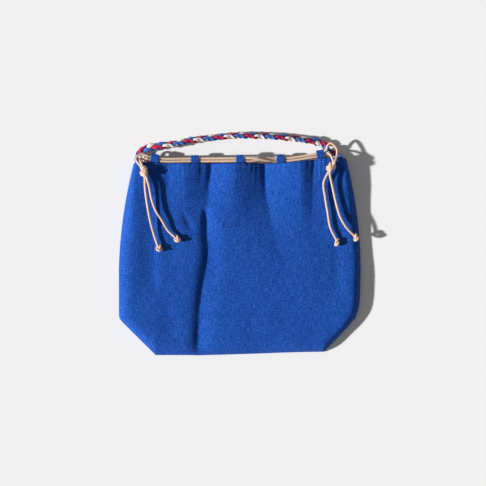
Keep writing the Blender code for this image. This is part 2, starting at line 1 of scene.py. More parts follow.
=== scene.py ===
"""Looks of the drawstring handbag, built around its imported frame, in metres with the mouth along +Y."""

import math

import bmesh
import bpy
import numpy as np
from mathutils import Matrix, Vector


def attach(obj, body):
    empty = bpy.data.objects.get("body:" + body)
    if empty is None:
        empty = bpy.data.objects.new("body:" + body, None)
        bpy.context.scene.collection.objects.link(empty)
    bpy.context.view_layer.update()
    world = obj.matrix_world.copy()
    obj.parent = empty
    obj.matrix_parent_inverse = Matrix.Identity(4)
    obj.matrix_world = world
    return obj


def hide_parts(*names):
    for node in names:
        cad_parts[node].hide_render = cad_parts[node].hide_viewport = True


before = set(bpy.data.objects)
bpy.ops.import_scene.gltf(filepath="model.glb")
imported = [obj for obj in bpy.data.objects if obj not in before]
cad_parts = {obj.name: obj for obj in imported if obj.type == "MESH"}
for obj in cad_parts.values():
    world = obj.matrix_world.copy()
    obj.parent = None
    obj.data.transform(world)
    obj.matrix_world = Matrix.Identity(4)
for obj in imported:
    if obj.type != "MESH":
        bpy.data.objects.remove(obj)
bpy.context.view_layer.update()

# Photograph: its middle on the model, its width in metres and the distance of the camera
VIEW_CENTRE = (0.0037, 0.0210)
VIEW_WIDTH = 0.600
VIEW_HEIGHT = 0.012
CAMERA_DISTANCE = 1.6
SENSOR = 36.0

# Light: the sun stands low on the left, slightly towards the bottom of the bag
SUN_AZIMUTH = math.radians(188)
SUN_ELEVATION = math.radians(28)
SUN_STRENGTH = 5.3
SUN_SOFTNESS = math.radians(2.5)
SKY_STRENGTH = 0.19

# Bag body, as in the model
BODY_WIDTH = 0.300
BASE_DEPTH = 0.090
HEM_Y = 0.1185
BOTTOM_Y = -0.118
MOUTH_TAPER = 0.018
TAPER_START_Y = -0.020
TAPER_LIMIT = 1.2
HEM_RISE_RIGHT = 0.0074
HEM_RISE_RIGHT_SPAN = (0.040, 0.128)
HEM_RISE_LEFT = 0.0015
HEM_RISE_LEFT_SPAN = (-0.090, -0.130)
BOTTOM_RISE_RIGHT = 0.004
BOTTOM_RISE_SPAN = (-0.060, 0.110)
LEFT_CORNER_BLEND = 0.002
RIGHT_CORNER_BLEND = 0.012
MODEL_CLOTH = 0.0010
GAP = 0.0003
BELLY_HEIGHT = 0.0105
MOUTH_HEIGHT = 0.0152
SEAM_REACH_LEFT = 0.022
SEAM_REACH_RIGHT = 0.015
SEAM_REACH_SPAN = (0.020, 0.100)
MOUTH_SEAM_REACH = 0.008
REACH_START_Y = 0.040
BACK_HEM_DROP = 0.004
BACK_HEM_LIFT = 0.0005
BACK_HEM_LIFT_SPAN = (0.020, 0.009)
BACK_RAMP = 0.014
BACK_RAMP_CLEARANCE = 0.0015
LAYER_RISE = (0.006, 0.001)
LAYER_MARGIN = 0.006
BROAD_RAMP = 0.070
CREASE_Y = BOTTOM_Y + BASE_DEPTH / 2
BASE_TOP_Y = BOTTOM_Y + BASE_DEPTH

# Gathers under the hem, left to right: place on the hem, lean, bend, height and reach down the front
GATHERS = (
    (-0.1180, 0.00, 0.0, 0.0000, 0.060), (-0.0889, 0.00, 0.0, -0.0030, 0.060),
    (-0.0667, -0.02, 0.0, 0.0022, 0.070), (-0.0348, -0.11, 0.0, -0.0068, 0.100),
    (-0.0040, -0.11, 0.0, 0.0044, 0.130), (0.0302, 0.015, 1.4, -0.0080, 0.120),
    (0.0740, 0.03, 0.0, 0.0050, 0.120), (0.0907, -0.03, 0.0, -0.0016, 0.045),
    (0.1030, 0.02, 0.0, 0.0016, 0.050), (0.1130, 0.00, 0.0, 0.0000, 0.060),
)
GATHER_ROUNDNESS = 0.6

# The main crease: the line of its bottom, and how it widens and deepens on its way down
CREASE_LINE = (
    (-0.0438, 0.0720), (-0.0432, 0.0494), (-0.0420, 0.0346), (-0.0396, 0.0123), (-0.0408, -0.0025),
    (-0.0451, -0.0247), (-0.0488, -0.0494), (-0.0506, -0.0741), (-0.0519, -0.0988), (-0.0525, -0.1250),
)
CREASE_STEP = 0.002
CREASE_DEPTH = 0.0057
CREASE_DEEPENS = (0.0690, 0.0460)
CREASE_WIDENS = (0.0640, 0.0150)
CREASE_LEFT_WIDTHS = (0.0024, 0.0070)
CREASE_RIGHT_WIDTHS = (0.0050, 0.0140)
CREASE_SHARPNESS = 1.5

# Softer folds: start, end, depth, width on the left of the line and width on its right
SOFT_FOLDS = (
    ((-0.0720, 0.062), (-0.0570, 0.036), 0.0016, 0.0060, 0.0050),
    ((0.1190, 0.040), (0.1200, -0.034), 0.0012, 0.0070, 0.0070),
)
FINE_FOLDS = (
    ((-0.0478, 0.130), (-0.0486, 0.104), 0.0014, 0.0022, 0.0026),
    ((-0.0362, 0.132), (-0.0388, 0.096), 0.0014, 0.0022, 0.0034),
    ((0.0290, 0.132), (0.0315, 0.084), 0.0012, 0.0034, 0.0030),
    ((0.0370, 0.034), (0.0530, 0.000), 0.0007, 0.0050, 0.0070),
    ((-0.0660, 0.050), (-0.0520, 0.026), -0.0008, 0.0040, 0.0040),
    ((0.0700, 0.130), (0.0690, 0.104), 0.0008, 0.0035, 0.0045),
    ((-0.1110, 0.094), (-0.1060, -0.036), 0.0021, 0.0130, 0.0070),
    ((-0.0740, 0.068), (-0.0620, 0.042), 0.0016, 0.0040, 0.0026),
    ((-0.0960, -0.020), (-0.0800, -0.100), 0.0012, 0.0160, 0.0090),
    ((-0.0330, 0.010), (-0.0310, -0.046), 0.0005, 0.0060, 0.0060),
)
FOLD_FADE = 0.022

# Puckers of the hem: sizes and reaches have a middle, a spread, a length of change and a random lattice
PUCKER_SPACING = 0.0062
PUCKER_DEPTH = 0.00055
PUCKER_LENGTH = 0.020
PUCKER_DRIFT = 0.35
PUCKER_DRIFT_SIZE = (0.011, 0.030)
PUCKER_SIZES = (0.55, 0.45, 0.013, 1)
PUCKER_REACHES = (0.75, 0.50, 0.009, 2)

# Wrinkles: height, size across and along, shift of the random lattice and which lattice it is
WRINKLES = (
    (0.00095, (0.042, 0.060), (7.3, 3.1), 3), (0.00040, (0.017, 0.034), (0.0, 0.0), 4),
    (0.00013, (0.0070, 0.0120), (0.0, 0.0), 5),
)
BACK_WRINKLE = 0.00016
BACK_WRINKLE_SIZE = (0.030, 0.040)
NOISE_CELLS = 64
NOISE_COUNT = 6

# Cloth of the looks
CLOTH = 0.00065
HEM_THICKNESS = 0.00136
HEM_DEPTH = 0.0125
HEM_BAND = 0.00022
HEM_BAND_EDGE = 0.0012
HEM_STITCH_DROP = 0.0031
HEM_GROOVE = 0.00030
HEM_GROOVE_WIDTH = 0.0009
FRONT_COLUMNS = 200
FRONT_ROWS = 168
ROW_CROWDING = 0.035
COLUMN_CROWDING = 0.20
ROLL_STEPS = 7
ROLL_SLOPES = (0.1, math.radians(80))
ROLL_PROBE = 0.0008
ROLL_UV_STEP = 0.0005
HEM_UV_STEP = 0.0006
HEM_ROLL_STEPS = 6
HEM_ROWS = 10
HEM_SIDE_CLEARANCE = 0.0045
BACK_COLUMNS = 150
BACK_ROWS = 110
BACK_INSET = 0.0013
STRIP_ROWS = 30
STRIP_END_GAP = 0.0005
BASE_ROWS = 60
BASE_START = 0.0011

# Stitches along the hem; their shape is the share of their length, the rise and the size of each ring
STITCH_SPAN = (-0.1255, 0.1255)
STITCH_PITCH = 0.0027
STITCH_SHARE = 0.74
STITCH_RADIUS = 0.00034
STITCH_SIDES = 6
STITCH_SHAPE = ((0.0, -1.3, 0.7), (0.12, 0.1, 1.0), (0.5, 0.5, 1.0), (0.88, 0.1, 1.0), (1.0, -1.3, 0.7))

# Tabs
TAB_PLACES = (-0.1060, -0.0556, 0.0000, 0.0500, 0.1000)
TAB_TILTS = (-0.20, 0.0, 0.0, 0.0, 0.15)
TAB_WIDTH = 0.0095
MODEL_TAB_CLOTH = 0.0009
TAB_CLOTH = 0.0007
TAB_STAND = 0.0110
TAB_LEG = 0.0080
TAB_LEG_GAP = 0.0004
TAB_LEG_POINTS = 8
TAB_RISE_START = 0.0004
TAB_RISE_END = 0.0022
TAB_RISE_STEPS = 5
TAB_TOP_STEPS = 4
TAB_BEND_STEPS = 12
TAB_COLUMNS = 10
TAB_EDGE_PUFF = 0.05
BESIDE_TAB = 0.55

# Cords and knots
CORD = 0.0028
CORD_CLEARANCE = 0.00045
NEAR_LANE = 0.0033
FAR_LANE = 0.0067
CROSSING_X = 0.024
CROSSING_LIFT = 0.0034
CROSSING_DIP = 0.0011
CROSSING_SHAPE = ((0.25, 0.0, 0.75), (0.5, 0.5, 1.0), (0.75, 1.0, 0.75))
CORD_STEP = 0.0008
CORD_SIDES = 18
KNOT_LIFT = 0.0062

# Joining knots: place, way of the cord, spin about that way and hand; end knots: the last two of these
JOINING_KNOTS = {
    "left": ((-0.1180, 0.1085), (0.35, -1.0, 0.0), math.radians(225), 1),
    "right": ((0.1120, 0.1140), (-0.5, -1.0, 0.0), math.radians(-135), -1),
}
JOINING_KNOT_REACH = 0.0076
END_KNOT_REACH = 0.0045
END_KNOT_STUB = 0.0050
END_KNOTS = {
    "left_tail_long": (math.radians(180), 1),
    "left_tail_short": (math.radians(180), 1),
    "right_tail_inner": (math.radians(270), 1),
    "right_tail_outer": (math.radians(225), 1),
}
KNOT_REST_GAP = 0.0001
TIP_BLUNTNESS = 0.04

# How a knot is tied and pulled tight, in cord diameters
KNOT_OPENING = 2.15
KNOT_START_POINTS = 300
KNOT_START_HEIGHT = 0.25
KNOT_START_SIZE = 0.6
KNOT_SPACING = 0.32
KNOT_FINE_SPACING = KNOT_SPACING / 6
KNOT_NEIGHBOURS = 4
KNOT_TENSION = 0.45
KNOT_STIFFNESS = 0.40
KNOT_CONTACT_PASSES = 3
SINGLE_KNOT_LEAD = 4.0
SINGLE_KNOT_ROUNDS = 350
DOUBLE_KNOT_LEAD = 3.6
DOUBLE_KNOT_FIRST_ROUNDS = 200
DOUBLE_KNOT_ROUNDS = 130
PAIR_WIDTH = 1.8

# The way from each joining knot to its tabs, and round the far end of the hems: x, y and z
LEFT_FRONT_WAY = (
    (-0.1228, 0.1166, 0.0210), (-0.1262, 0.1206, 0.0190), (-0.1282, 0.1246, 0.0172),
    (-0.1250, 0.1288, 0.0164), (-0.1188, 0.1300, 0.0156), (-0.1140, 0.1284, 0.0151),
)
LEFT_BACK_WAY = (
    (-0.1196, 0.1176, 0.0212), (-0.1224, 0.1212, 0.0188), (-0.1236, 0.1240, 0.0150),
    (-0.1218, 0.1252, 0.0100), (-0.1180, 0.1240, 0.0052), (-0.1130, 0.1212, 0.0030),
)
LEFT_TURN = ((-0.1150, 0.1250, 0.0151), (-0.1186, 0.1220, 0.0090), (-0.1135, 0.1184, 0.0030))
RIGHT_FRONT_WAY = ((0.1072, 0.1320, 0.0152), (0.1108, 0.1296, 0.0184), (0.1130, 0.1242, 0.0208))
RIGHT_TURN = ((0.1078, 0.1284, 0.0144), (0.1116, 0.1262, 0.0084), (0.1080, 0.1238, 0.0033))
RIGHT_BACK_WAY = (
    (0.1068, 0.1288, 0.0038), (0.1100, 0.1298, 0.0058), (0.1090, 0.1312, 0.0104), (0.1066, 0.1345, 0.0146),
    (0.1076, 0.1400, 0.0162), (0.1116, 0.1440, 0.0168), (0.1162, 0.1408, 0.0170), (0.1194, 0.1352, 0.0172),
    (0.1190, 0.1284, 0.0192), (0.1164, 0.1226, 0.0214),
)

# Tails, from the joining knot to the end knot: x, y and height over the cloth
TAILS = {
    "left_tail_long": (
        (-0.1168, 0.1012, 0.0060), (-0.1164, 0.0889, 0.0064), (-0.1138, 0.0684, 0.0068),
        (-0.1103, 0.0489, 0.0062), (-0.1062, 0.0326, 0.0046), (-0.1020, 0.0186, 0.0032),
    ),
    "left_tail_short": (
        (-0.1128, 0.1016, 0.0066), (-0.1116, 0.0909, 0.0072), (-0.1080, 0.0735, 0.0076),
        (-0.1030, 0.0601, 0.0072), (-0.0959, 0.0489, 0.0060), (-0.0888, 0.0367, 0.0044),
        (-0.0812, 0.0284, 0.0032),
    ),
    "right_tail_inner": (
        (0.1066, 0.1072, 0.0052), (0.1028, 0.0951, 0.0044), (0.1048, 0.0765, 0.0040),
        (0.1079, 0.0580, 0.0040), (0.1110, 0.0407, 0.0036), (0.1176, 0.0262, 0.0032),
    ),
    "right_tail_outer": (
        (0.1112, 0.1058, 0.0060), (0.1124, 0.0951, 0.0054), (0.1151, 0.0827, 0.0050),
        (0.1185, 0.0684, 0.0048), (0.1232, 0.0531, 0.0048), (0.1304, 0.0407, 0.0050),
        (0.1392, 0.0306, 0.0062),
    ),
}

# Handle: the middle line of the braid
HANDLE_LINE = (
    (-0.1232, 0.1060, 0.0055), (-0.1246, 0.1130, 0.0056), (-0.1262, 0.1200, 0.0058),
    (-0.1264, 0.1262, 0.0062), (-0.1242, 0.1318, 0.0068), (-0.1190, 0.1366, 0.0074),
    (-0.1111, 0.1395, 0.0080), (-0.0988, 0.1414, 0.0082), (-0.0864, 0.1426, 0.0082),
    (-0.0741, 0.1457, 0.0082), (-0.0617, 0.1482, 0.0082), (-0.0494, 0.1498, 0.0082),
    (-0.0346, 0.1515, 0.0082), (-0.0185, 0.1531, 0.0082), (0.0000, 0.1541, 0.0082),
    (0.0123, 0.1539, 0.0082), (0.0272, 0.1534, 0.0082), (0.0432, 0.1527, 0.0082),
    (0.0593, 0.1510, 0.0082), (0.0741, 0.1494, 0.0080), (0.0864, 0.1480, 0.0078),
    (0.0963, 0.1457, 0.0076), (0.1049, 0.1412, 0.0074), (0.1136, 0.1368, 0.0070),
    (0.1196, 0.1322, 0.0064), (0.1222, 0.1262, 0.0060), (0.1222, 0.1195, 0.0057),
    (0.1206, 0.1120, 0.0055),
)
BRAID_REPEAT = 0.038
BRAID_PHASE = -0.025
BRAID_ROLL = 1.05
BRAID_FLAT_END = 0.030
BRAID_ROLLED_START = 0.070
BRAID_SWAY = 0.0036
BRAID_END_SIZE = 0.78
BRAID_LIFT = 0.0017
STRIP_HALF_WIDTH = 0.0032
STRIP_HALF_THICKNESS = 0.0010
STRIP_PINCH = 0.24
STRIP_STEP = 0.0009
STRIP_SIDES = 26
STRIP_CREASES = (0.09, 5, 0.0034)
STRIP_FINE_CREASES = (0.08, 9, -0.0061)
STRIPS = {"white": 0, "blue": 2, "red": 1}

# Colours, as linear light
LINEN_BLUE = (0.0065, 0.070, 0.385)
LINEN_DARK = (0.003, 0.030, 0.215)
LINEN_LIGHT = (0.026, 0.142, 0.600)
THREAD_BLUE = (0.040, 0.150, 0.560)
CORD_TAN = (0.700, 0.500, 0.365)
STRIP_COLOURS = {"white": (0.780, 0.740, 0.680), "blue": (0.060, 0.170, 0.560), "red": (0.520, 0.022, 0.095)}
FLOOR_WHITE = (0.900, 0.895, 0.890)

# Surfaces: roughness, specular level and sheen
LINEN_SURFACE = (0.88, 0.12, 0.04)
CORD_SURFACE = (0.52, 0.35, 0.05)
STRIP_SURFACE = (0.85, 0.15, 0.05)
STITCH_SURFACE = (0.60, 0.30, 0.0)
FLOOR_SURFACE = (0.95, 0.10, 0.0)
SHEEN_ROUGHNESS = 0.5

# Relief: depth and strength
LINEN_RELIEF = (0.00028, 0.8)
CORD_RELIEF = (0.00012, 0.6)
STRIP_RELIEF = (0.00055, 0.7)
STITCH_RELIEF = (0.00006, 0.6)

# Threads of the weave, the braided cord and the sewing thread, with shares in the colour and in the relief
THREAD_SPACING = 0.00058
THREAD_WANDER = 0.006
THREAD_WANDER_SHARES = (1.6, 1.2)
WEAVE_MIDDLE = 0.6
# The weave's share in the colour paints shade between the threads and light on their crossings.
WEAVE_SHARES = (0.14, 0.45)
CORD_BRAID = 0.0021
CORD_BRAID_TURNS = 4
# The braid's share in the colour paints shade into the grooves between the cord's strands.
CORD_BRAID_SHARES = (0.10, 0.35)
STITCH_TWIST = 0.0007
# The twist's share in the colour paints shade between the thread's two strands.
STITCH_TWIST_SHARES = (0.25, 1.0)

# Unevenness: size across and along (on what is round, size along and features round), detail, and its
# share in the colour and in the relief
LINEN_THREADS = (
    (0.0010, 0.0100, 1, 1.5, 0.9), (0.0070, 0.0009, 1, 1.1, 0.6), (0.0006, 0.0032, 1, 1.1, 0.6),
    (0.0032, 0.0006, 1, 1.0, 0.6), (0.0008, 0.0009, 1, 4.6, 0.0), (0.035, 0.080, 2, 0.50, 0.0),
)
CORD_FIBRES = ((0.0030, 5.0, 3, 0.45, 0.8), (0.0120, 0.8, 2, 0.55, 0.0))
# On the strips the first entry paints shade into their creases and light onto the cloth between them, besides
# their relief; the others are threads and uneven dye.
STRIP_CREASE_SHADE_AND_FIBRES = ((0.0110, 2.2, 3, 1.20, 1.0), (0.0005, 9.0, 1, 0.45, 0.25), (0.0090, 0.9, 2, 0.60, 0.0))

# The darker and the lighter tone of a colour, as shares of it
CORD_TONES = (0.62, 1.30)
# The strips' darker tone is also the painted shade in their creases.
STRIP_TONES = (0.36, 1.25)
THREAD_TONES = (0.7, 1.3)
FLOOR_TONES = (0.97, 1.02)

# Floor: scale, detail and share of its uneven tone, half its width and how far it lies under the bag
FLOOR_CLOUDS = (3.0, 2.0, 0.2)
FLOOR_REACH = 3.0
FLOOR_DROP = 0.0002


def clamp(value, low=0.0, high=1.0):
    """A value kept between two limits."""
    return np.clip(value, low, high)


def smooth_step(start, end, value):
    """How far a value has come from start to end, from 0 to 1, with level ends."""
    share = clamp((np.asarray(value, float) - start) / (end - start))
    return share * share * (3.0 - 2.0 * share)


def unit_rows(vectors):
    """Each row of vectors at length 1."""
    return vectors / np.linalg.norm(vectors, axis=1)[:, None]


def distances(path):
    """Length along a line from its first point to each of its points."""
    return np.concatenate([[0.0], np.cumsum(np.linalg.norm(np.diff(path, axis=0), axis=1))])


def circle_angles(count):
    """Angles of a ring of points."""
    return 2 * math.pi * np.arange(count) / count


def half_turn(radius, steps):
    """Points of half a turn, without its start: how far each stands out and how far it has come over."""
    angles = [math.pi * step / steps for step in range(1, steps + 1)]
    return [(radius * math.sin(angle), radius * (1 - math.cos(angle))) for angle in angles]


def carried_along(up, directions):
    """One vector at right angles to each direction, turned as little as possible from one to the next."""
    ups = []
    for direction in directions:
        up = up - direction * np.dot(up, direction)
        up /= np.linalg.norm(up)
        ups.append(up)
    return np.array(ups)


def smooth_route(points, spacing):
    """A smooth curve through the route's own points, with further points at most one spacing apart."""
    places = np.asarray(points, float)
    steps = np.diff(places, axis=0)
    lengths = np.linalg.norm(steps, axis=1)
    slopes = steps / lengths[:, None]
    tangents = np.concatenate([slopes[:1], (slopes[:-1] + slopes[1:]) / 2, slopes[-1:]])
    route = []
    for number, length in enumerate(lengths):
        t = np.arange(math.ceil(length / spacing))[:, None] / math.ceil(length / spacing)
        route.append(
            places[number] * (2 * t ** 3 - 3 * t ** 2 + 1)
            + tangents[number] * length * (t ** 3 - 2 * t ** 2 + t)
            + places[number + 1] * (3 * t ** 2 - 2 * t ** 3)
            + tangents[number + 1] * length * (t ** 3 - t ** 2)
        )
    route.append(places[-1:])
    return np.concatenate(route)


CREASE_CURVE = smooth_route(CREASE_LINE, CREASE_STEP)


def hem_line(x):
    """Height along Y of the front hem."""
    right = HEM_RISE_RIGHT * smooth_step(*HEM_RISE_RIGHT_SPAN, x)
    left = HEM_RISE_LEFT * smooth_step(*HEM_RISE_LEFT_SPAN, x)
    return HEM_Y + right + left


def bottom_line(x):
    """Place along Y of the fold between front and base."""
    return BOTTOM_Y + BOTTOM_RISE_RIGHT * smooth_step(*BOTTOM_RISE_SPAN, x)


def level_at(x, y):
    """The height at which a place of the front would lie if hem and bottom were both straight."""
    lowest = bottom_line(x) - BOTTOM_Y
    stretch = (hem_line(x) - HEM_Y - lowest) / (HEM_Y - BOTTOM_Y)
    return (y - lowest + stretch * BOTTOM_Y) / (1.0 + stretch)


def half_width(y, x):
    """Half the width of the body at height y, on the side that x is on."""
    rise = clamp((y - TAPER_START_Y) / (HEM_Y - TAPER_START_Y), 0.0, TAPER_LIMIT)
    side_edge = BODY_WIDTH / 2 - MOUTH_TAPER * rise * rise
    chamfer = (BODY_WIDTH - BASE_DEPTH) / 2 + (y - BOTTOM_Y)
    blend = np.where(np.asarray(x) > 0, RIGHT_CORNER_BLEND, LEFT_CORNER_BLEND)
    return 0.5 * (side_edge + chamfer - np.hypot(side_edge - chamfer, blend))


def layers_under(y, margin=0.0):
    """Top of the cloth that lies behind the front: the base, the folded end of the back and the back."""
    raised = 3 * MODEL_CLOTH + 2 * GAP
    up = smooth_step(CREASE_Y - LAYER_RISE[0] - margin, CREASE_Y - LAYER_RISE[1] - margin, y)
    ramp_start = BASE_TOP_Y + BACK_RAMP_CLEARANCE + margin
    down = smooth_step(ramp_start, ramp_start + BACK_RAMP, y)
    return MODEL_CLOTH + (raised - MODEL_CLOTH) * up * (1.0 - down)


def broad_layers(y):
    """The same rise as the front's cloth bridges it, too gradual to see as a line."""
    raised = 2 * (MODEL_CLOTH + GAP)
    up = smooth_step(BOTTOM_Y, CREASE_Y - LAYER_MARGIN, y)
    down = smooth_step(BASE_TOP_Y, BASE_TOP_Y + BROAD_RAMP, y)
    return MODEL_CLOTH + raised * up * (1.0 - down)


def fold_depth(x, y, fold):
    """How far one fold pulls the front down at a place."""
    start, end, depth, left_width, right_width = fold
    along = np.subtract(end, start)
    length = np.linalg.norm(along)
    along = along / length
    run = (x - start[0]) * along[0] + (y - start[1]) * along[1]
    across = along[0] * (y - start[1]) - along[1] * (x - start[0])
    width = np.where(across > 0, right_width, left_width)
    fade = smooth_step(0.0, FOLD_FADE, run) * smooth_step(length + FOLD_FADE, length - FOLD_FADE, run)
    return depth * fade * np.exp(-(across / width) ** 2)


def gathers(x, y):
    """The broad folds that run down from the hem, with sharp valleys and round crests."""
    below = np.maximum(0.0, hem_line(x) - y)
    height = np.zeros(np.broadcast(x, y).shape)
    lines = [
        (place + lean * below + bend * below ** 2, lift * smooth_step(reach, 0.0, below))
        for place, lean, bend, lift, reach in GATHERS
    ]
    for (left, left_height), (right, right_height) in zip(lines, lines[1:]):
        share = clamp((x - left) / (right - left))
        from_left = GATHER_ROUNDNESS * (np.sin(share * math.pi / 2) - share)
        from_right = GATHER_ROUNDNESS * (1.0 - share - np.sin((1.0 - share) * math.pi / 2))
        share = share + np.where(left_height < right_height, from_left, from_right)
        between = (x >= left) & (x < right)
        height = np.where(between, left_height + (right_height - left_height) * share, height)
    return height


def main_crease(x, y):
    """How far the main crease pulls the front down: steep on its left, gentle on its right."""
    across = x - np.interp(-np.asarray(y, float), -CREASE_CURVE[:, 1], CREASE_CURVE[:, 0])
    widened = smooth_step(*CREASE_WIDENS, y)
    left_width = CREASE_LEFT_WIDTHS[0] + (CREASE_LEFT_WIDTHS[1] - CREASE_LEFT_WIDTHS[0]) * widened
    right_width = CREASE_RIGHT_WIDTHS[0] + (CREASE_RIGHT_WIDTHS[1] - CREASE_RIGHT_WIDTHS[0]) * widened
    depth = CREASE_DEPTH * smooth_step(*CREASE_DEEPENS, y)
    share = np.abs(across) / np.where(across < 0, left_width, right_width)
    return depth * np.exp(-share ** CREASE_SHARPNESS)


def seam_rounding(x, y):
    """How far the front has risen from its seams at a place, from 0 to 1."""
    level = level_at(x, y)
    inside = np.maximum(0.0, np.minimum(half_width(level, x) - np.abs(x), level - BOTTOM_Y))
    reach = SEAM_REACH_LEFT + (SEAM_REACH_RIGHT - SEAM_REACH_LEFT) * smooth_step(*SEAM_REACH_SPAN, x)
    reach = reach + (MOUTH_SEAM_REACH - reach) * smooth_step(REACH_START_Y, HEM_Y, y)
    return 1.0 - (1.0 - clamp(inside / reach)) ** 3


def model_front(x, y):
    """Height of the outer face of the front, as in the model."""
    full = BELLY_HEIGHT + (MOUTH_HEIGHT - BELLY_HEIGHT) * smooth_step(0.0, HEM_Y, y)
    folds = main_crease(x, y) + sum(fold_depth(x, y, fold) for fold in SOFT_FOLDS)
    seam = layers_under(y, LAYER_MARGIN) + GAP + MODEL_CLOTH
    return seam + seam_rounding(x, y) * np.maximum(0.0, full + gathers(x, y) - folds)


def lattice(cells, seed):
    """A square of seeded random numbers, which soft_noise reads between its points."""
    return np.random.default_rng(seed).random((cells, cells)) * 2.0 - 1.0


NOISE_LATTICES = [lattice(NOISE_CELLS, seed) for seed in range(NOISE_COUNT)]


def soft_noise(u, v, which):
    """Smooth noise from -1 to 1 over a plane, with one feature for each unit of u and v."""
    table = NOISE_LATTICES[which]
    u0 = np.floor(u).astype(int)
    v0 = np.floor(v).astype(int)
    fu = u - u0
    fv = v - v0
    fu = fu * fu * (3 - 2 * fu)
    fv = fv * fv * (3 - 2 * fv)
    a = table[u0 % NOISE_CELLS, v0 % NOISE_CELLS]
    b = table[(u0 + 1) % NOISE_CELLS, v0 % NOISE_CELLS]
    c = table[u0 % NOISE_CELLS, (v0 + 1) % NOISE_CELLS]
    d = table[(u0 + 1) % NOISE_CELLS, (v0 + 1) % NOISE_CELLS]
    return (a * (1 - fu) + b * fu) * (1 - fv) + (c * (1 - fu) + d * fu) * fv


def wandering(x, middle, spread, length, which):
    """A value that wanders about its middle along X."""
    return middle + spread * soft_noise(x / length, np.zeros_like(x), which)


def puckers(x, y):
    """The small gathers that the stitching draws into the hem."""
    below = hem_line(x) - y
    drift = PUCKER_DRIFT * soft_noise(x / PUCKER_DRIFT_SIZE[0], y / PUCKER_DRIFT_SIZE[1], 0)
    wave = np.cos(2 * math.pi * (x / PUCKER_SPACING + drift))
    reach = PUCKER_LENGTH * wandering(x, *PUCKER_REACHES)
    return PUCKER_DEPTH * wandering(x, *PUCKER_SIZES) * wave * np.exp(-(below / reach) ** 2)


def wrinkles(x, y):
    """Broad unevenness of cloth that has been carried and laid down."""
    return sum(
        height * soft_noise(x / across + shift_x, y / along + shift_y, which)
        for height, (across, along), (shift_x, shift_y), which in WRINKLES
    )


def hem_relief(x, y):
    """The doubled hem stands a little proud, and its line of stitches pulls it in."""
    below = hem_line(x) - y
    band = HEM_BAND * smooth_step(HEM_DEPTH + HEM_BAND_EDGE, HEM_DEPTH - HEM_BAND_EDGE, below)
    groove = HEM_GROOVE * np.exp(-((below - HEM_STITCH_DROP) / HEM_GROOVE_WIDTH) ** 2)
    return band - groove


def front_face(x, y):
    """Height of the outer face of the front with all of its folds."""
    fine = sum(fold_depth(x, y, fold) for fold in FINE_FOLDS)
    loose = puckers(x, y) + wrinkles(x, y) - fine
    bridging = broad_layers(y) - layers_under(y, LAYER_MARGIN)
    return model_front(x, y) + bridging + seam_rounding(x, y) * loose + hem_relief(x, y)


def linked(name, data):
    """A new object in the scene."""
    thing = bpy.data.objects.new(name, data)
    bpy.context.scene.collection.objects.link(thing)
    return thing


def clean_mesh(name, points, faces, uvs, shade):
    """A smooth mesh object from points, faces and one flat-cloth coordinate for each point."""
    mesh = bpy.data.meshes.new(name)
    mesh.from_pydata([tuple(point) for point in points], [], faces)
    layer = mesh.uv_layers.new(name="cloth")
    corner_points = np.empty(len(mesh.loops), int)
    mesh.loops.foreach_get("vertex_index", corner_points)
    layer.data.foreach_set("uv", np.asarray(uvs, float)[corner_points].ravel())
    mesh.shade_smooth()
    mesh.materials.append(shade)
    return linked(name, mesh)


def joined(name, parts):
    """One object from several, which keep their first one's material."""
    whole = bmesh.new()
    for part in parts:
        whole.from_mesh(part.data)
    whole.to_mesh(parts[0].data)
    whole.free()
    for part in parts[1:]:
        bpy.data.objects.remove(part)
    parts[0].name = name
    return parts[0]


def grid_faces(rows, columns, first=0, closed=False):
    """Faces of a grid whose points are numbered row by row, and whose rows may be closed into rings."""
    faces = []
    for row in range(rows - 1):
        for column in range(columns if closed else columns - 1):
            after = (column + 1) % columns
            low = first + row * columns
            high = low + columns
            faces.append((low + column, low + after, high + after, high + column))
    return faces


def thicken(piece, thickness, offset):
    """Gives a sheet its thickness and applies it."""
    solidify = piece.modifiers.new("thickness", "SOLIDIFY")
    solidify.thickness = thickness
    solidify.offset = offset
    solidify.use_even_offset = True
    graph = bpy.context.evaluated_depsgraph_get()
    solid = bpy.data.meshes.new_from_object(piece.evaluated_get(graph))
    piece.modifiers.clear()
    piece.data = solid
    return piece


def sheet_piece(name, grid, uvs, thickness, shade):
    """A sheet with its thickness, from a grid of points in its middle plane."""
    faces = grid_faces(*grid.shape[:2])
    piece = clean_mesh(name, grid.reshape(-1, 3), faces, uvs.reshape(-1, 2), shade)
    return thicken(piece, thickness, 0.0)


def surface_lengths(points):
    """Length from the first point to each point of every row of a grid."""
    steps = np.linalg.norm(np.diff(points, axis=1), axis=2)
    return np.concatenate([np.zeros((len(points), 1)), np.cumsum(steps, axis=1)], axis=1)


def spread(shares, left, right):
    """Places along X at shares from -1 to 1 of the way from a left edge to a right one."""
    return (right - left) / 2 + shares * (left + right) / 2


def front_grid():
    """Points of the front's outer face, row by row from the bottom fold to the hem."""
    share = np.linspace(0.0, 1.0, FRONT_ROWS + 1)
    levels = BOTTOM_Y + (HEM_Y - BOTTOM_Y) * (share + ROW_CROWDING * np.sin(2 * math.pi * share))
    columns = np.linspace(-1.0, 1.0, FRONT_COLUMNS + 1)
    columns = (1.0 - COLUMN_CROWDING) * columns + COLUMN_CROWDING * np.sin(columns * math.pi / 2)
    rows = []
    for level in levels:
        x = spread(columns, half_width(level, -1.0), half_width(level, 1.0))
        share_up = (level - BOTTOM_Y) / (HEM_Y - BOTTOM_Y)
        y = level + (bottom_line(x) - BOTTOM_Y) * (1.0 - share_up) + (hem_line(x) - HEM_Y) * share_up
        rows.append(np.stack([x, y, front_face(x, y)], axis=1))
    return np.array(rows)


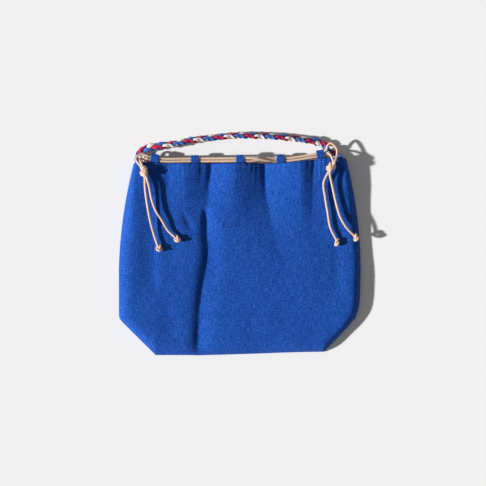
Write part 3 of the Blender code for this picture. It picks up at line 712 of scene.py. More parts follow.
def rim_roll(grid):
    """Points that carry the front's sides and bottom round and down to the cloth behind."""
    rows, columns = grid.shape[:2]
    left = [(row, 0) for row in range(rows - 1, -1, -1)]
    bottom = [(0, column) for column in range(1, columns - 1)]
    right = [(row, columns - 1) for row in range(rows)]
    path = left + bottom + right
    rim = np.array([grid[place] for place in path])
    along = unit_rows(np.gradient(rim[:, :2], axis=0))
    out = np.stack([along[:, 1], -along[:, 0]], axis=1)
    inner = rim[:, :2] - out * ROLL_PROBE
    slope = clamp(np.arctan2(front_face(inner[:, 0], inner[:, 1]) - rim[:, 2], ROLL_PROBE), *ROLL_SLOPES)
    drop = rim[:, 2] - (layers_under(rim[:, 1]) - MODEL_CLOTH)
    radius = drop / (1.0 + np.cos(slope))
    rings = []
    for step in range(1, ROLL_STEPS + 1):
        angle = slope + (math.pi - slope) * step / ROLL_STEPS
        reach = radius * (np.sin(angle) - np.sin(slope))
        fall = radius * (np.cos(slope) - np.cos(angle))
        rings.append(np.column_stack([rim[:, :2] + out * reach[:, None], rim[:, 2] - fall]))
    return path, np.array(rings)


def hem_fold(grid):
    """Points of the front's hem where it is turned over to the inside."""
    edge = grid[-1]
    rings = [edge + np.array([0.0, out, -over]) for out, over in half_turn(HEM_THICKNESS / 2, HEM_ROLL_STEPS)]
    for step in range(1, HEM_ROWS + 1):
        y = edge[:, 1] - HEM_DEPTH * step / HEM_ROWS
        rings.append(np.stack([edge[:, 0], y, front_face(edge[:, 0], y) - HEM_THICKNESS], axis=1))
    return np.array(rings)


def attach_rings(points, uvs, faces, inner, rings, uv_step, flipped):
    """Joins rings of points to a sheet, one after the other, the first to the points that inner numbers."""
    start = sum(map(len, points))
    inner_uvs = uvs[0][inner]
    for number, ring in enumerate(rings, start=1):
        outer = list(range(start, start + len(ring)))
        points.append(ring)
        uvs.append(inner_uvs + number * uv_step)
        for a in range(len(ring) - 1):
            corners = (inner[a], outer[a], outer[a + 1], inner[a + 1])
            faces.append((corners[0], *corners[:0:-1]) if flipped else corners)
        inner = outer
        start += len(ring)


def build_front(shade):
    """The front with its rims rolled down to the back and its hem turned in, as one sheet."""
    grid = front_grid()
    rows, columns = grid.shape[:2]
    across = surface_lengths(grid)
    across = across - across[:, [columns // 2]] + grid[:, [columns // 2], 0]
    upwards = surface_lengths(grid.transpose(1, 0, 2)).T
    points = [grid.reshape(-1, 3)]
    uvs = [np.stack([across, upwards], axis=2).reshape(-1, 2)]
    faces = grid_faces(rows, columns)

    path, rings = rim_roll(grid)
    rim = [row * columns + column for row, column in path]
    outward = np.sign(uvs[0][rim, 0])[:, None] * np.array([1.0, 0.0])
    attach_rings(points, uvs, faces, rim, rings, outward * ROLL_UV_STEP, False)

    keep = np.flatnonzero(np.abs(grid[-1][:, 0]) < half_width(HEM_Y, 1.0) - HEM_SIDE_CLEARANCE)
    edge = [(rows - 1) * columns + int(column) for column in keep]
    turned = [ring[keep] for ring in hem_fold(grid)]
    attach_rings(points, uvs, faces, edge, turned, np.array([0.0, HEM_UV_STEP]), True)

    piece = clean_mesh("bag_front", np.concatenate(points), faces, np.concatenate(uvs), shade)
    return thicken(piece, CLOTH, -1.0)


def folded_width(y, x):
    """Half the width of the layers that the folded base makes, which have their upper corners cut off too."""
    return min(half_width(y, x), BODY_WIDTH / 2 - max(0.0, y - CREASE_Y))


def panel_columns(width_at, level):
    """Places along X of one row of the back or the base, from its left edge to its right one."""
    left = width_at(level, -1.0) - BACK_INSET
    right = width_at(level, 1.0) - BACK_INSET
    return spread(np.linspace(-1.0, 1.0, BACK_COLUMNS + 1), left, right)


def panel_piece(name, rows, shade):
    """The back or the base from its rows of points."""
    grid = np.array(rows)
    along = surface_lengths(grid.transpose(1, 0, 2)).T
    return sheet_piece(name, grid, np.stack([grid[:, :, 0], along], axis=2), CLOTH, shade)


def back_section(hem):
    """The back's middle line, from the base's seam to the turned hem: y, z and if it lies doubled."""
    fold_radius = (MODEL_CLOTH + GAP) / 2
    strip_height = 3 * MODEL_CLOTH + 2 * GAP - MODEL_CLOTH / 2 - 2 * fold_radius
    strip_end = BASE_TOP_Y - STRIP_END_GAP
    lift_span = (hem - BACK_HEM_LIFT_SPAN[0], hem - BACK_HEM_LIFT_SPAN[1])
    section = [(y, strip_height, True) for y in np.linspace(strip_end, CREASE_Y, STRIP_ROWS + 1)]
    for out, over in half_turn(fold_radius, HEM_ROLL_STEPS)[:-1]:
        section.append((CREASE_Y - out, strip_height + over, False))
    for y in np.linspace(CREASE_Y, hem, BACK_ROWS + 1):
        lift = BACK_HEM_LIFT * smooth_step(*lift_span, y)
        section.append((y, layers_under(y) - MODEL_CLOTH / 2 + lift, False))
    for out, over in half_turn((HEM_THICKNESS - CLOTH) / 2, HEM_ROLL_STEPS):
        section.append((hem + out, MODEL_CLOTH / 2 + BACK_HEM_LIFT + over, False))
    for y in np.linspace(hem, hem - HEM_DEPTH, HEM_ROWS + 1)[1:]:
        lift = BACK_HEM_LIFT * smooth_step(*lift_span, y)
        section.append((y, MODEL_CLOTH / 2 + lift + HEM_THICKNESS - CLOTH, False))
    return section


def build_back(shade):
    """The back: flat on the ground above the base, over the base as a second layer, with a turned hem."""
    hem = HEM_Y - BACK_HEM_DROP
    rows = []
    for y, z, doubled in back_section(hem):
        x = panel_columns(folded_width if doubled else half_width, max(min(y, hem), CREASE_Y))
        share_up = clamp((y - BASE_TOP_Y) / (hem - BASE_TOP_Y))
        uneven = soft_noise(x / BACK_WRINKLE_SIZE[0], np.full_like(x, y / BACK_WRINKLE_SIZE[1]), 2)
        wave = BACK_WRINKLE * uneven * share_up
        rows.append(np.stack([x, y + share_up * (hem_line(x) - HEM_Y), z + wave], axis=1))
    return panel_piece("bag_back", rows, shade)


def build_base(shade):
    """The boxed base, folded flat behind the back, whose far edge curls up to its seam with the back."""
    middle = MODEL_CLOTH / 2
    section = [(y, middle) for y in np.linspace(BOTTOM_Y + BASE_START, BASE_TOP_Y, BASE_ROWS + 1)]
    for out, over in half_turn(middle + GAP / 2, HEM_ROLL_STEPS):
        section.append((BASE_TOP_Y + out, middle + over))
    rows = []
    for y, z in section:
        x = panel_columns(folded_width, min(y, BASE_TOP_Y))
        rise = (bottom_line(x) - BOTTOM_Y) * (1 - clamp((y - BOTTOM_Y) / BASE_DEPTH))
        rows.append(np.stack([x, y + rise, np.full_like(x, z)], axis=1))
    return panel_piece("bag_base", rows, shade)


def tab_section():
    """The middle line of a tab's cloth: distance beyond the hem, and height from the cord's middle."""
    leg = (MODEL_TAB_CLOTH + TAB_LEG_GAP) / 2
    bulge = CORD / 2 + CORD_CLEARANCE + MODEL_TAB_CLOTH / 2
    inner_end = TAB_STAND - MODEL_TAB_CLOTH / 2 - bulge
    upper = [(along, leg) for along in np.linspace(-TAB_LEG, TAB_RISE_START, TAB_LEG_POINTS)]
    for step in range(1, TAB_RISE_STEPS + 1):
        share = step / TAB_RISE_STEPS
        height = leg + (bulge - leg) * float(smooth_step(0.0, 1.0, share))
        upper.append((TAB_RISE_START + (TAB_RISE_END - TAB_RISE_START) * share, height))
    for step in range(1, TAB_TOP_STEPS):
        upper.append((TAB_RISE_END + (inner_end - TAB_RISE_END) * step / TAB_TOP_STEPS, bulge))
    bend = []
    for step in range(TAB_BEND_STEPS + 1):
        angle = math.pi * (0.5 - step / TAB_BEND_STEPS)
        bend.append((inner_end + bulge * math.cos(angle), bulge * math.sin(angle)))
    return upper + bend + [(along, -height) for along, height in reversed(upper)]


def lowest_front_near(place, tilt):
    """Lowest height of the model's front over the legs of a tab."""
    heights = []
    for across in (-0.5, 0.0, 0.5):
        for back in (0.0, 0.5, 1.0):
            x = place + across * TAB_WIDTH * math.cos(tilt) + back * TAB_LEG * math.sin(tilt)
            y = hem_line(x) - back * TAB_LEG
            heights.append(float(model_front(x, y)))
    return min(heights)


def tab_frames():
    """Name, place, tilt and cord height of every tab, on the front and then on the back."""
    frames = []
    leg_stack = GAP + MODEL_TAB_CLOTH + TAB_LEG_GAP / 2
    for number, (place, tilt) in enumerate(zip(TAB_PLACES, TAB_TILTS), start=1):
        cord_z = lowest_front_near(place, tilt) - MODEL_CLOTH - leg_stack
        y = float(hem_line(place)) + 0.5 * TAB_WIDTH * abs(math.sin(tilt))
        frames.append((f"front_tab_{number}", place, y, tilt, cord_z))
    for number, place in enumerate(TAB_PLACES, start=1):
        y = float(max(hem_line(place - TAB_WIDTH / 2), hem_line(place + TAB_WIDTH / 2))) - BACK_HEM_DROP
        frames.append((f"back_tab_{number}", place, y, 0.0, MODEL_CLOTH + BACK_HEM_LIFT + leg_stack))
    return frames


def build_tab(frame_of_tab, shade):
    """One tab: a folded band of the bag's cloth, a little thicker along its two turned edges."""
    name, x, y, tilt, cord_z = frame_of_tab
    across = np.linspace(-0.5, 0.5, TAB_COLUMNS + 1)
    rows = []
    for along, height in tab_section():
        side = across * TAB_WIDTH
        puff = 1.0 + TAB_EDGE_PUFF * np.cos(across * 4 * math.pi)
        place_x = x + side * math.cos(tilt) - along * math.sin(tilt)
        place_y = y + side * math.sin(tilt) + along * math.cos(tilt)
        rows.append(np.stack([place_x, place_y, cord_z + height * puff], axis=1))
    grid = np.array(rows)
    lengths = surface_lengths(grid.transpose(1, 0, 2)).T
    uvs = np.stack([np.broadcast_to(across * TAB_WIDTH, lengths.shape) + x, lengths + y], axis=2)
    piece = sheet_piece(f"dressed_{name}", grid, uvs, TAB_CLOTH, shade)
    dress(piece, "blue_linen", name)
    return piece


def resampled(path, spacing):
    """The same line with its points evenly spaced."""
    lengths = distances(path)
    places = np.linspace(0.0, lengths[-1], max(2, round(lengths[-1] / spacing) + 1))
    return np.stack([np.interp(places, lengths, path[:, axis]) for axis in range(3)], axis=1)


def transported_frames(path):
    """Side and up vectors along a line, turned as little as possible from point to point."""
    along = unit_rows(np.gradient(path, axis=0))
    up = np.cross(along[0], (0.0, 0.0, 1.0))
    if np.linalg.norm(up) < 0.1:
        up = np.cross(along[0], (0.0, 1.0, 0.0))
    ups = carried_along(up, along)
    return np.cross(ups, along), ups


def sweep(name, path, sides, ups, section, shade):
    """A closed tube along a path; section gives each ring's points as (side, up) pairs."""
    rings, count = section.shape[:2]
    points = path[:, None, :] + section[:, :, :1] * sides[:, None, :] + section[:, :, 1:] * ups[:, None, :]
    around = np.arange(count) / count
    uvs = np.stack(np.broadcast_arrays(distances(path)[:, None], around[None, :]), axis=2)
    faces = grid_faces(rings, count, closed=True)
    faces.append(tuple(reversed(range(count))))
    faces.append(tuple(range((rings - 1) * count, rings * count)))
    return clean_mesh(name, points.reshape(-1, 3), faces, uvs.reshape(-1, 2), shade)


def tip_radii(path, radius):
    """The radius of a cord along its path, with its end rounded over."""
    lengths = distances(path)
    inward = clamp(1.0 - (lengths[-1] - lengths) / radius)
    return np.minimum(radius, radius * np.sqrt(np.maximum(TIP_BLUNTNESS, 1.0 - inward ** 2)))


def cord_piece(name, route, shade, tip_rounded=False):
    """A round cord along a route."""
    path = resampled(np.asarray(route, float), CORD_STEP)
    sides, ups = transported_frames(path)
    angles = circle_angles(CORD_SIDES)
    radius = tip_radii(path, CORD / 2) if tip_rounded else np.full(len(path), CORD / 2)
    circle = np.stack([np.cos(angles), np.sin(angles)], axis=1)
    return sweep(name, path, sides, ups, radius[:, None, None] * circle[None], shade), path


def over_cloth(x, y, lift):
    """A place at a height over the front."""
    return np.array([x, y, float(model_front(x, y)) + lift])


def lane_point(tab, lane, across=0.0):
    """A point of a cord inside a tab."""
    _, x, y, tilt, cord_z = tab
    return (
        x + across * math.cos(tilt) - lane * math.sin(tilt),
        y + across * math.sin(tilt) + lane * math.cos(tilt),
        cord_z,
    )


def run_through(tabs, left_lane, right_lane, lift):
    """A cord's way through one row of tabs, from left to right, which changes lanes at the crossing."""
    points = []
    for tab in tabs:
        lane = left_lane if tab[1] < CROSSING_X else right_lane
        for across in (-BESIDE_TAB, BESIDE_TAB):
            points.append(lane_point(tab, lane, across * TAB_WIDTH))
    first_after = 2 * sum(1 for tab in tabs if tab[1] < CROSSING_X)
    before = Vector(points[first_after - 1])
    after = Vector(points[first_after])
    crossing = []
    for share, part_across, part_lift in CROSSING_SHAPE:
        lane = left_lane + (right_lane - left_lane) * part_across
        straight = before.lerp(after, share)
        straight_lane = left_lane + (right_lane - left_lane) * share
        crossing.append((straight.x, straight.y + lane - straight_lane, straight.z + lift * part_lift))
    return points[:first_after] + crossing + points[first_after:]


def drawstring_routes():
    """The way of each drawstring, named by the side on which it is knotted."""
    frames = tab_frames()
    front = frames[:len(TAB_PLACES)]
    back = frames[len(TAB_PLACES):]
    left_front = run_through(front, FAR_LANE, NEAR_LANE, CROSSING_LIFT)
    left_back = run_through(back, FAR_LANE, NEAR_LANE, CROSSING_LIFT - CROSSING_DIP)
    right_front = run_through(front, NEAR_LANE, FAR_LANE, 0.0)
    right_back = run_through(back, NEAR_LANE, FAR_LANE, -CROSSING_DIP)
    left = [*LEFT_FRONT_WAY, *left_front, *RIGHT_TURN, *reversed(left_back), *reversed(LEFT_BACK_WAY)]
    right = [*reversed(RIGHT_FRONT_WAY), *reversed(right_front), *LEFT_TURN, *right_back, *RIGHT_BACK_WAY]
    return {"left": left, "right": right}


def overhand_start(lead):
    """A small overhand knot along X, in cord diameters: a trefoil that is opened out."""
    t = np.linspace(-KNOT_OPENING, KNOT_OPENING, KNOT_START_POINTS)
    loop = np.stack([t ** 3 - 3 * t, t ** 4 - 4 * t ** 2, KNOT_START_HEIGHT * (t ** 5 - 10 * t)], axis=1)
    loop[:, 1] -= loop[:, 1].mean()
    end = np.array([[lead, 0.0, 0.0]])
    return np.concatenate([-end, KNOT_START_SIZE * loop, end])


def push_apart(points, apart):
    """Moves points that belong to different turns until they lie a diameter apart."""
    for _ in range(KNOT_CONTACT_PASSES):
        offset = points[:, None, :] - points[None, :, :]
        distance = np.sqrt((offset ** 2).sum(axis=2)) + 1e-9
        overlap = np.where(apart & (distance < 1.0), 1.0 / distance - 1.0, 0.0)
        contacts = np.maximum(1.0, (overlap > 0.0).sum(axis=1))
        move = (overlap[:, :, None] * offset).sum(axis=1)
        points += KNOT_STIFFNESS * move / np.sqrt(contacts)[:, None]


def tighten(strands, rounds):
    """Shortens knotted strands between their fixed ends until they lie tight, in cord diameters."""
    ends = [(strand[0], strand[-1]) for strand in strands]
    for _ in range(rounds):
        strands = [resampled(strand, KNOT_SPACING) for strand in strands]
        for strand in strands:
            strand[1:-1] += KNOT_TENSION * (strand[:-2] + strand[2:] - 2 * strand[1:-1])
        counts = [len(strand) for strand in strands]
        number = np.arange(sum(counts))
        owner = np.repeat(np.arange(len(strands)), counts)
        near = np.abs(number[:, None] - number[None, :]) <= KNOT_NEIGHBOURS
        points = np.concatenate(strands)
        push_apart(points, ~(near & (owner[:, None] == owner[None, :])))
        strands = np.split(points, np.cumsum(counts)[:-1])
        for strand, (first, last) in zip(strands, ends):
            strand[0] = first
            strand[-1] = last
    return strands


def single_knot():
    """The middle line of one cord in a tight overhand knot."""
    return [CORD * strand for strand in tighten([overhand_start(SINGLE_KNOT_LEAD)], SINGLE_KNOT_ROUNDS)]


def double_knot():
    """The middle lines of two cords that are tied together as one in an overhand knot."""
    line, = tighten([overhand_start(DOUBLE_KNOT_LEAD)], DOUBLE_KNOT_FIRST_ROUNDS)
    line = PAIR_WIDTH * resampled(line, KNOT_FINE_SPACING)
    along = unit_rows(np.gradient(line, axis=0))
    offset = 0.5 * np.cross(carried_along(np.array([0.0, 0.0, 1.0]), along), along)
    return [CORD * strand for strand in tighten([line + offset, line - offset], DOUBLE_KNOT_ROUNDS)]


def trimmed(strand, before, after):
    """The stretch of a strand between two places along X, which lie on its straight ends."""
    inside = np.flatnonzero((strand[:, 0] > -before) & (strand[:, 0] < after))
    return strand[inside[0]:inside[-1] + 1]


def placed(strands, centre, axis, spin, handed):
    """Strands of a knot along X, turned onto an axis, spun about it and moved to its centre."""
    along = np.asarray(axis, float) / np.linalg.norm(axis)
    side = np.cross((0.0, 0.0, 1.0), along)
    side /= np.linalg.norm(side)
    up = np.cross(along, side)
    turned_side = handed * (side * math.cos(spin) + up * math.sin(spin))
    turned_up = up * math.cos(spin) - side * math.sin(spin)
    turn = np.stack([along, turned_side, turned_up])
    return [strand @ turn + centre for strand in strands]


def laid_on_cloth(strands):
    """Lifts or lowers a knot until it just rests on the front."""
    points = np.concatenate(strands)
    clearance = (points[:, 2] - CORD / 2 - front_face(points[:, 0], points[:, 1])).min()
    return [strand - [0.0, 0.0, clearance - KNOT_REST_GAP] for strand in strands]


def knot_piece(name, strands, shade, tip_rounded=False):
    """One knot, made of the stretches of cord that are tied in it."""
    parts = []
    for number, strand in enumerate(strands):
        route = smooth_route(strand, CORD_STEP)
        part, _ = cord_piece(f"{name}_{number}", route, shade, tip_rounded)
        parts.append(part)
    return joined(name, parts)


def joining_knots():
    """The strands of both joining knots, in place."""
    pair = [trimmed(strand, JOINING_KNOT_REACH, JOINING_KNOT_REACH) for strand in double_knot()]
    knots = {}
    for side, (place, axis, spin, handed) in JOINING_KNOTS.items():
        knots[side] = laid_on_cloth(placed(pair, over_cloth(*place, KNOT_LIFT), axis, spin, handed))
    return knots


def matched(ends, first_goal, second_goal):
    """Two knot ends in the order in which they lie nearest to two goals."""
    straight = np.linalg.norm(ends[0] - first_goal) + np.linalg.norm(ends[1] - second_goal)
    crossed = np.linalg.norm(ends[1] - first_goal) + np.linalg.norm(ends[0] - second_goal)
    return ends if straight <= crossed else ends[::-1]


def end_knot(tail, route, line, shade):
    """The overhand knot at the end of a tail, on the line of the tail's last stretch."""
    last = route[-1]
    direction = (last - route[-2]) / np.linalg.norm(last - route[-2])
    centre = last + direction * END_KNOT_REACH
    spin, handed = END_KNOTS[tail]
    strands = placed([trimmed(line, END_KNOT_REACH, END_KNOT_STUB)], centre, direction, spin, handed)
    strands = laid_on_cloth(strands)
    name = tail.replace("tail", "end_knot")
    piece = knot_piece(f"dressed_{name}", strands, shade, tip_rounded=True)
    dress(piece, "tan_cord", name)
    return piece, strands[0][0]


def build_cords(shade):
    """The drawstrings, the tails and all of the knots."""
    knots = joining_knots()
    routes = drawstring_routes()
    line = single_knot()[0]
    tails = {name: [over_cloth(*point) for point in points] for name, points in TAILS.items()}
    for side, strands in knots.items():
        knot = knot_piece(f"dressed_{side}_joining_knot", strands, shade)
        dress(knot, "tan_cord", f"{side}_joining_knot")
        route = routes[side]
        start, end = matched([strand[0] for strand in strands], route[0], route[-1])
        route = smooth_route([start, *route[1:-1], end], CORD_STEP)
        piece, path = cord_piece(f"dressed_drawstring_{side}", route, shade)
        dress(piece, "tan_cord", f"drawstring_{side}")
        pair = {name: points for name, points in tails.items() if name.startswith(side)}
        lower = matched([strand[-1] for strand in strands], *[points[0] for points in pair.values()])
        for start, (name, points) in zip(lower, pair.items()):
            tip, entry = end_knot(name, points, line, shade)
            route = smooth_route([start, *points[1:-1], entry], CORD_STEP)
            piece, path = cord_piece(f"dressed_{name}", route, shade)
            dress(piece, "tan_cord", name)


def braid_strand(line, number):
    """One strip's middle line in the braid, the angle it is turned over by and how far it is drawn in."""
    along = unit_rows(np.gradient(line, axis=0))
    sideways = unit_rows(np.cross((0.0, 0.0, 1.0), along))
    upwards = np.cross(along, sideways)
    distance = distances(line)
    from_end = np.minimum(distance, distance[-1] - distance)
    rolled = smooth_step(BRAID_FLAT_END, BRAID_ROLLED_START, from_end)
    size = BRAID_END_SIZE + (1.0 - BRAID_END_SIZE) * rolled
    roll = BRAID_ROLL * rolled[:, None]
    sideways, upwards = (
        sideways * np.cos(roll) - upwards * np.sin(roll),
        upwards * np.cos(roll) + sideways * np.sin(roll),
    )
    turn = 2 * math.pi * (distance / BRAID_REPEAT + BRAID_PHASE + number / 3)
    sway = BRAID_SWAY * size * np.sin(turn)
    lift = BRAID_LIFT * np.sin(2 * turn)
    path = line + sideways * sway[:, None] + upwards * lift[:, None]
    phase = np.mod(turn, 2 * math.pi)
    right_edge = smooth_step(math.pi * 0.25, math.pi * 0.75, phase)
    left_edge = smooth_step(math.pi * 1.25, math.pi * 1.75, phase)
    pinch = size * (1.0 - STRIP_PINCH * np.sin(turn) ** 4)
    return path, upwards, math.pi * (right_edge - left_edge), pinch


def strip_sections(count, number):
    """The outline of a strip at each of its points, with small creases that wander round it."""
    angles = circle_angles(STRIP_SIDES)
    distance = np.arange(count)[:, None] * STRIP_STEP
    size, ridges, pitch = STRIP_CREASES
    fine_size, fine_ridges, fine_pitch = STRIP_FINE_CREASES
    creased = 1.0 + size * np.sin(ridges * angles[None, :] + distance / pitch + number)
    creased += fine_size * np.sin(fine_ridges * angles[None, :] + distance / fine_pitch)
    outline = np.stack([STRIP_HALF_WIDTH * np.cos(angles), STRIP_HALF_THICKNESS * np.sin(angles)], axis=1)
    return outline[None] * creased[:, :, None]


def build_handle(shades):
    """The braid of three flat strips, each turned over at the braid's edges."""
    line = resampled(smooth_route(HANDLE_LINE, STRIP_STEP), STRIP_STEP)
    for colour, number in STRIPS.items():
        path, upwards, roll, pinch = braid_strand(line, number)
        along = unit_rows(np.gradient(path, axis=0))
        ups = unit_rows(upwards - along * np.sum(upwards * along, axis=1)[:, None])
        sides = np.cross(ups, along)
        turned_ups = ups * np.cos(roll)[:, None] + sides * np.sin(roll)[:, None]
        turned_sides = sides * np.cos(roll)[:, None] - ups * np.sin(roll)[:, None]
        section = strip_sections(len(path), number)
        section[:, :, 0] *= pinch[:, None]
        piece = sweep(f"dressed_handle_{colour}", path, turned_sides, turned_ups, section, shades[colour])
        dress(piece, f"{colour}_strip", f"handle_strand_{colour}")


def stitch_row(name, places, shade):
    """A row of short stitches between pairs of places, each sunk in at both of its ends."""
    angles = circle_angles(STITCH_SIDES)
    points = []
    faces = []
    uvs = []
    for first, last in zip(places[0::2], places[1::2]):
        length = float(np.linalg.norm(last - first))
        along = (last - first) / length
        side = np.cross((0.0, 0.0, 1.0), along)
        up = np.cross(along, side)
        start = len(points)
        for share, rise, size in STITCH_SHAPE:
            middle = first + (last - first) * share + up * rise * STITCH_RADIUS
            for angle in angles:
                points.append(middle + STITCH_RADIUS * size * (side * math.cos(angle) + up * math.sin(angle)))
                uvs.append((share * length, angle / (2 * math.pi)))
        faces += grid_faces(len(STITCH_SHAPE), STITCH_SIDES, first=start, closed=True)
    piece = clean_mesh(name, points, faces, uvs, shade)
    dress(piece, "blue_linen")
    return piece


def hem_stitches(shade):
    """The stitches along the front's hem."""
    count = int((STITCH_SPAN[1] - STITCH_SPAN[0]) / STITCH_PITCH)
    starts = STITCH_SPAN[0] + STITCH_PITCH * np.arange(count)
    x = np.stack([starts, starts + STITCH_PITCH * STITCH_SHARE], axis=1).ravel()
    y = hem_line(x) - HEM_STITCH_DROP
    places = np.stack([x, y, front_face(x, y)], axis=1)
    return stitch_row("hem_stitches", places, shade)


def dress(piece, slot, *nodes):
    """Rides the piece on the bag and lets it stand for its nodes; the slot, the name of its finish, is not
    used.
    """
    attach(piece, "root")
    if nodes:
        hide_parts(*nodes)


class Nodes:
    """Short calls for building one material from nodes."""

    def __init__(self, name, roughness, specular, sheen):
        self.shade = bpy.data.materials.new(name)
        self.shade.use_nodes = True
        self.tree = self.shade.node_tree
        self.surface = self.tree.nodes["Principled BSDF"]
        self.surface.inputs["Roughness"].default_value = roughness
        self.surface.inputs["Specular IOR Level"].default_value = specular
        self.surface.inputs["Sheen Weight"].default_value = sheen
        self.surface.inputs["Sheen Roughness"].default_value = SHEEN_ROUGHNESS

    def add(self, kind, inputs=None, **settings):
        node = self.tree.nodes.new(kind)
        for key, value in settings.items():
            setattr(node, key, value)
        for key, value in (inputs or {}).items():
            self.feed(node.inputs[key], value)
        return node

    def feed(self, socket, value):
        if isinstance(value, bpy.types.NodeSocket):
            self.tree.links.new(value, socket)
        else:
            socket.default_value = value

    def math(self, operation, first, second=0.0):
        return self.add("ShaderNodeMath", {0: first, 1: second}, operation=operation).outputs[0]

    def place(self):
        """The flat-cloth coordinate of a point, as two numbers."""
        uv = self.add("ShaderNodeUVMap", uv_map="cloth").outputs["UV"]
        parts = self.add("ShaderNodeSeparateXYZ", {"Vector": uv})
        return parts.outputs["X"], parts.outputs["Y"]

    def vector(self, x, y, z=0.0):
        return self.add("ShaderNodeCombineXYZ", {"X": x, "Y": y, "Z": z}).outputs["Vector"]

    def noise(self, vector, detail=1.0):
        """Smooth noise about zero, with one feature for each unit of the vector."""
        node = self.add("ShaderNodeTexNoise", {"Vector": vector, "Scale": 1.0, "Detail": detail})
        return self.math("SUBTRACT", node.outputs["Fac"], 0.5)

    def stretched_noise(self, u, v, across, along, detail=1.0):
        """Noise whose features measure across by along metres."""
        return self.noise(self.vector(self.math("DIVIDE", u, across), self.math("DIVIDE", v, along)), detail)

    def mixed(self, parts):
        """The sum of signals, each given with its share."""
        total = 0.0
        for signal, share in parts:
            total = self.math("ADD", total, self.math("MULTIPLY", signal, share))
        return total

    def colour(self, signal, dark, middle, light):
        """Colours the surface by a signal about zero."""
        ramp = self.add("ShaderNodeValToRGB", {"Fac": self.math("ADD", signal, 0.5)})
        ramp.color_ramp.elements[0].color = (*dark, 1.0)
        ramp.color_ramp.elements[1].color = (*light, 1.0)
        ramp.color_ramp.elements.new(0.5).color = (*middle, 1.0)
        self.feed(self.surface.inputs["Base Color"], ramp.outputs["Color"])

    def finished(self, parts, colours, depth, strength):
        """The material, coloured and embossed by signals that have a share in each."""
        self.colour(self.mixed([(signal, share) for signal, share, _ in parts]), *colours)
        height = self.mixed([(signal, share) for signal, _, share in parts if share])
        relief = self.add("ShaderNodeBump", {"Height": height, "Distance": depth, "Strength": strength})
        self.feed(self.surface.inputs["Normal"], relief.outputs["Normal"])
        return self.shade


def tones(colour, dark, light):
    """A colour between its darker and its lighter tone."""
    return [tuple(min(1.0, channel * share) for channel in colour) for share in (dark, 1.0, light)]


def linen_material():
    """Plain-woven linen: single threads with painted shade between them, thick slubs along both of its ways,
    and an uneven dye.
    """
    nodes = Nodes("blue_linen", *LINEN_SURFACE)
    u, v = nodes.place()
    drift = nodes.stretched_noise(u, v, THREAD_WANDER, THREAD_WANDER)
    waves = []
    for along, share in zip((u, v), THREAD_WANDER_SHARES):
        straight = nodes.math("DIVIDE", along, THREAD_SPACING)
        threads = nodes.math("ADD", straight, nodes.math("MULTIPLY", drift, share))
        waves.append(nodes.math("COSINE", nodes.math("MULTIPLY", threads, math.pi)))
    crossing = nodes.math("ABSOLUTE", nodes.math("MULTIPLY", *waves))
    weave = nodes.math("SUBTRACT", nodes.math("SQRT", crossing), WEAVE_MIDDLE)
    parts = [(weave, *WEAVE_SHARES)]
    for across, along, detail, *shares in LINEN_THREADS:
        parts.append((nodes.stretched_noise(u, v, across, along, detail), *shares))
    return nodes.finished(parts, (LINEN_DARK, LINEN_BLUE, LINEN_LIGHT), *LINEN_RELIEF)


def round_parts(nodes, fibres):
    """Signals on a cord or strip that join up where its circle closes, with their shares."""
    length, turn = nodes.place()
    angle = nodes.math("MULTIPLY", turn, 2 * math.pi)
    ring = (nodes.math("COSINE", angle), nodes.math("SINE", angle))
    parts = []
    for along, around, detail, *shares in fibres:
        across = [nodes.math("MULTIPLY", side, around) for side in ring]
        where = nodes.vector(nodes.math("DIVIDE", length, along), *across)
        parts.append((nodes.noise(where, detail), *shares))
    return parts


def cord_material():
    """Smooth, tightly braided round cord with fine fibres and painted shade between its strands."""
    nodes = Nodes("tan_cord", *CORD_SURFACE)
    length, turn = nodes.place()
    rise = nodes.math("MULTIPLY", length, 2 * math.pi / CORD_BRAID)
    twist = nodes.math("MULTIPLY", turn, 2 * math.pi * CORD_BRAID_TURNS)
    waves = [nodes.math("COSINE", nodes.math(way, rise, twist)) for way in ("ADD", "SUBTRACT")]
    parts = [*round_parts(nodes, CORD_FIBRES), (nodes.math("MULTIPLY", *waves), *CORD_BRAID_SHARES)]
    return nodes.finished(parts, tones(CORD_TAN, *CORD_TONES), *CORD_RELIEF)


def strip_material(name, colour):
    """A cotton strip: lengthwise creases with painted shade in them and painted light between them, a fine
    weave and slightly uneven dye.
    """
    nodes = Nodes(name, *STRIP_SURFACE)
    return nodes.finished(round_parts(nodes, STRIP_CREASE_SHADE_AND_FIBRES), tones(colour, *STRIP_TONES), *STRIP_RELIEF)


def thread_material():
    """Sewing thread in the cloth's colour, twisted from two strands, with painted shade between them."""
    nodes = Nodes("blue_thread", *STITCH_SURFACE)
    length, turn = nodes.place()
    rise = nodes.math("MULTIPLY", length, 2 * math.pi / STITCH_TWIST)
    twist = nodes.math("ADD", rise, nodes.math("MULTIPLY", turn, 4 * math.pi))
    parts = [(nodes.math("COSINE", twist), *STITCH_TWIST_SHARES)]
    return nodes.finished(parts, tones(THREAD_BLUE, *THREAD_TONES), *STITCH_RELIEF)


def floor_material():
    """Matt white paper with a barely uneven tone."""
    nodes = Nodes("floor_white", *FLOOR_SURFACE)
    where = nodes.add("ShaderNodeNewGeometry").outputs["Position"]
    scale, detail, share = FLOOR_CLOUDS
    clouds = nodes.add("ShaderNodeTexNoise", {"Vector": where, "Scale": scale, "Detail": detail})
    tone = nodes.math("MULTIPLY", nodes.math("SUBTRACT", clouds.outputs["Fac"], 0.5), share)
    nodes.colour(tone, *tones(FLOOR_WHITE, *FLOOR_TONES))
    return nodes.shade


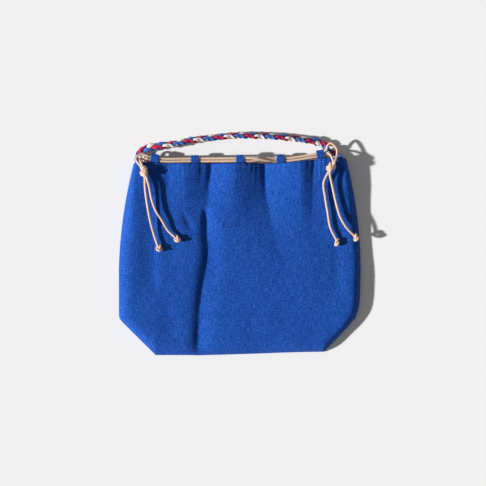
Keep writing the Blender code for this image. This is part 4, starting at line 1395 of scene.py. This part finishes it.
def build_floor():
    """The pale floor, a little under the bag so that the two faces don't meet."""
    mesh = bpy.data.meshes.new("floor")
    corners = [(x * FLOOR_REACH, y * FLOOR_REACH, 0.0) for x, y in ((-1, -1), (1, -1), (1, 1), (-1, 1))]
    mesh.from_pydata(corners, [], [(0, 1, 2, 3)])
    mesh.materials.append(floor_material())
    floor = linked("floor", mesh)
    floor.location.z = -FLOOR_DROP


def build_light():
    """A low, softened sun and an even pale sky."""
    sun = bpy.data.lights.new("sun", "SUN")
    sun.energy = SUN_STRENGTH
    sun.angle = SUN_SOFTNESS
    lamp = linked("sun", sun)
    towards = Vector((
        math.cos(SUN_ELEVATION) * math.cos(SUN_AZIMUTH),
        math.cos(SUN_ELEVATION) * math.sin(SUN_AZIMUTH),
        math.sin(SUN_ELEVATION),
    ))
    lamp.rotation_euler = towards.to_track_quat("Z", "Y").to_euler()
    world = bpy.data.worlds.new("pale_sky")
    world.use_nodes = True
    background = world.node_tree.nodes["Background"]
    background.inputs["Color"].default_value = (1.0, 1.0, 1.0, 1.0)
    background.inputs["Strength"].default_value = SKY_STRENGTH
    bpy.context.scene.world = world


def build_camera():
    """A camera straight above the bag, with the photograph's frame."""
    camera = bpy.data.cameras.new("camera")
    camera.sensor_width = SENSOR
    camera.lens = SENSOR * CAMERA_DISTANCE / VIEW_WIDTH
    view = linked("camera", camera)
    view.location = (*VIEW_CENTRE, VIEW_HEIGHT + CAMERA_DISTANCE)
    bpy.context.scene.camera = view
    bpy.context.scene.view_settings.view_transform = "Standard"


def main():
    """Builds and dresses every piece, then the floor, the light and the camera."""
    linen = linen_material()
    cord = cord_material()
    strips = {colour: strip_material(f"{colour}_cotton", STRIP_COLOURS[colour]) for colour in STRIPS}
    front = build_front(linen)
    back = build_back(linen)
    base = build_base(linen)
    dress(front, "blue_linen", "front_panel")
    dress(back, "blue_linen", "back_panel")
    dress(base, "blue_linen", "base_panel")
    tabs = [build_tab(tab, linen) for tab in tab_frames()]
    stitches = hem_stitches(thread_material())
    build_cords(cord)
    build_handle(strips)
    build_floor()
    build_light()
    build_camera()


main()
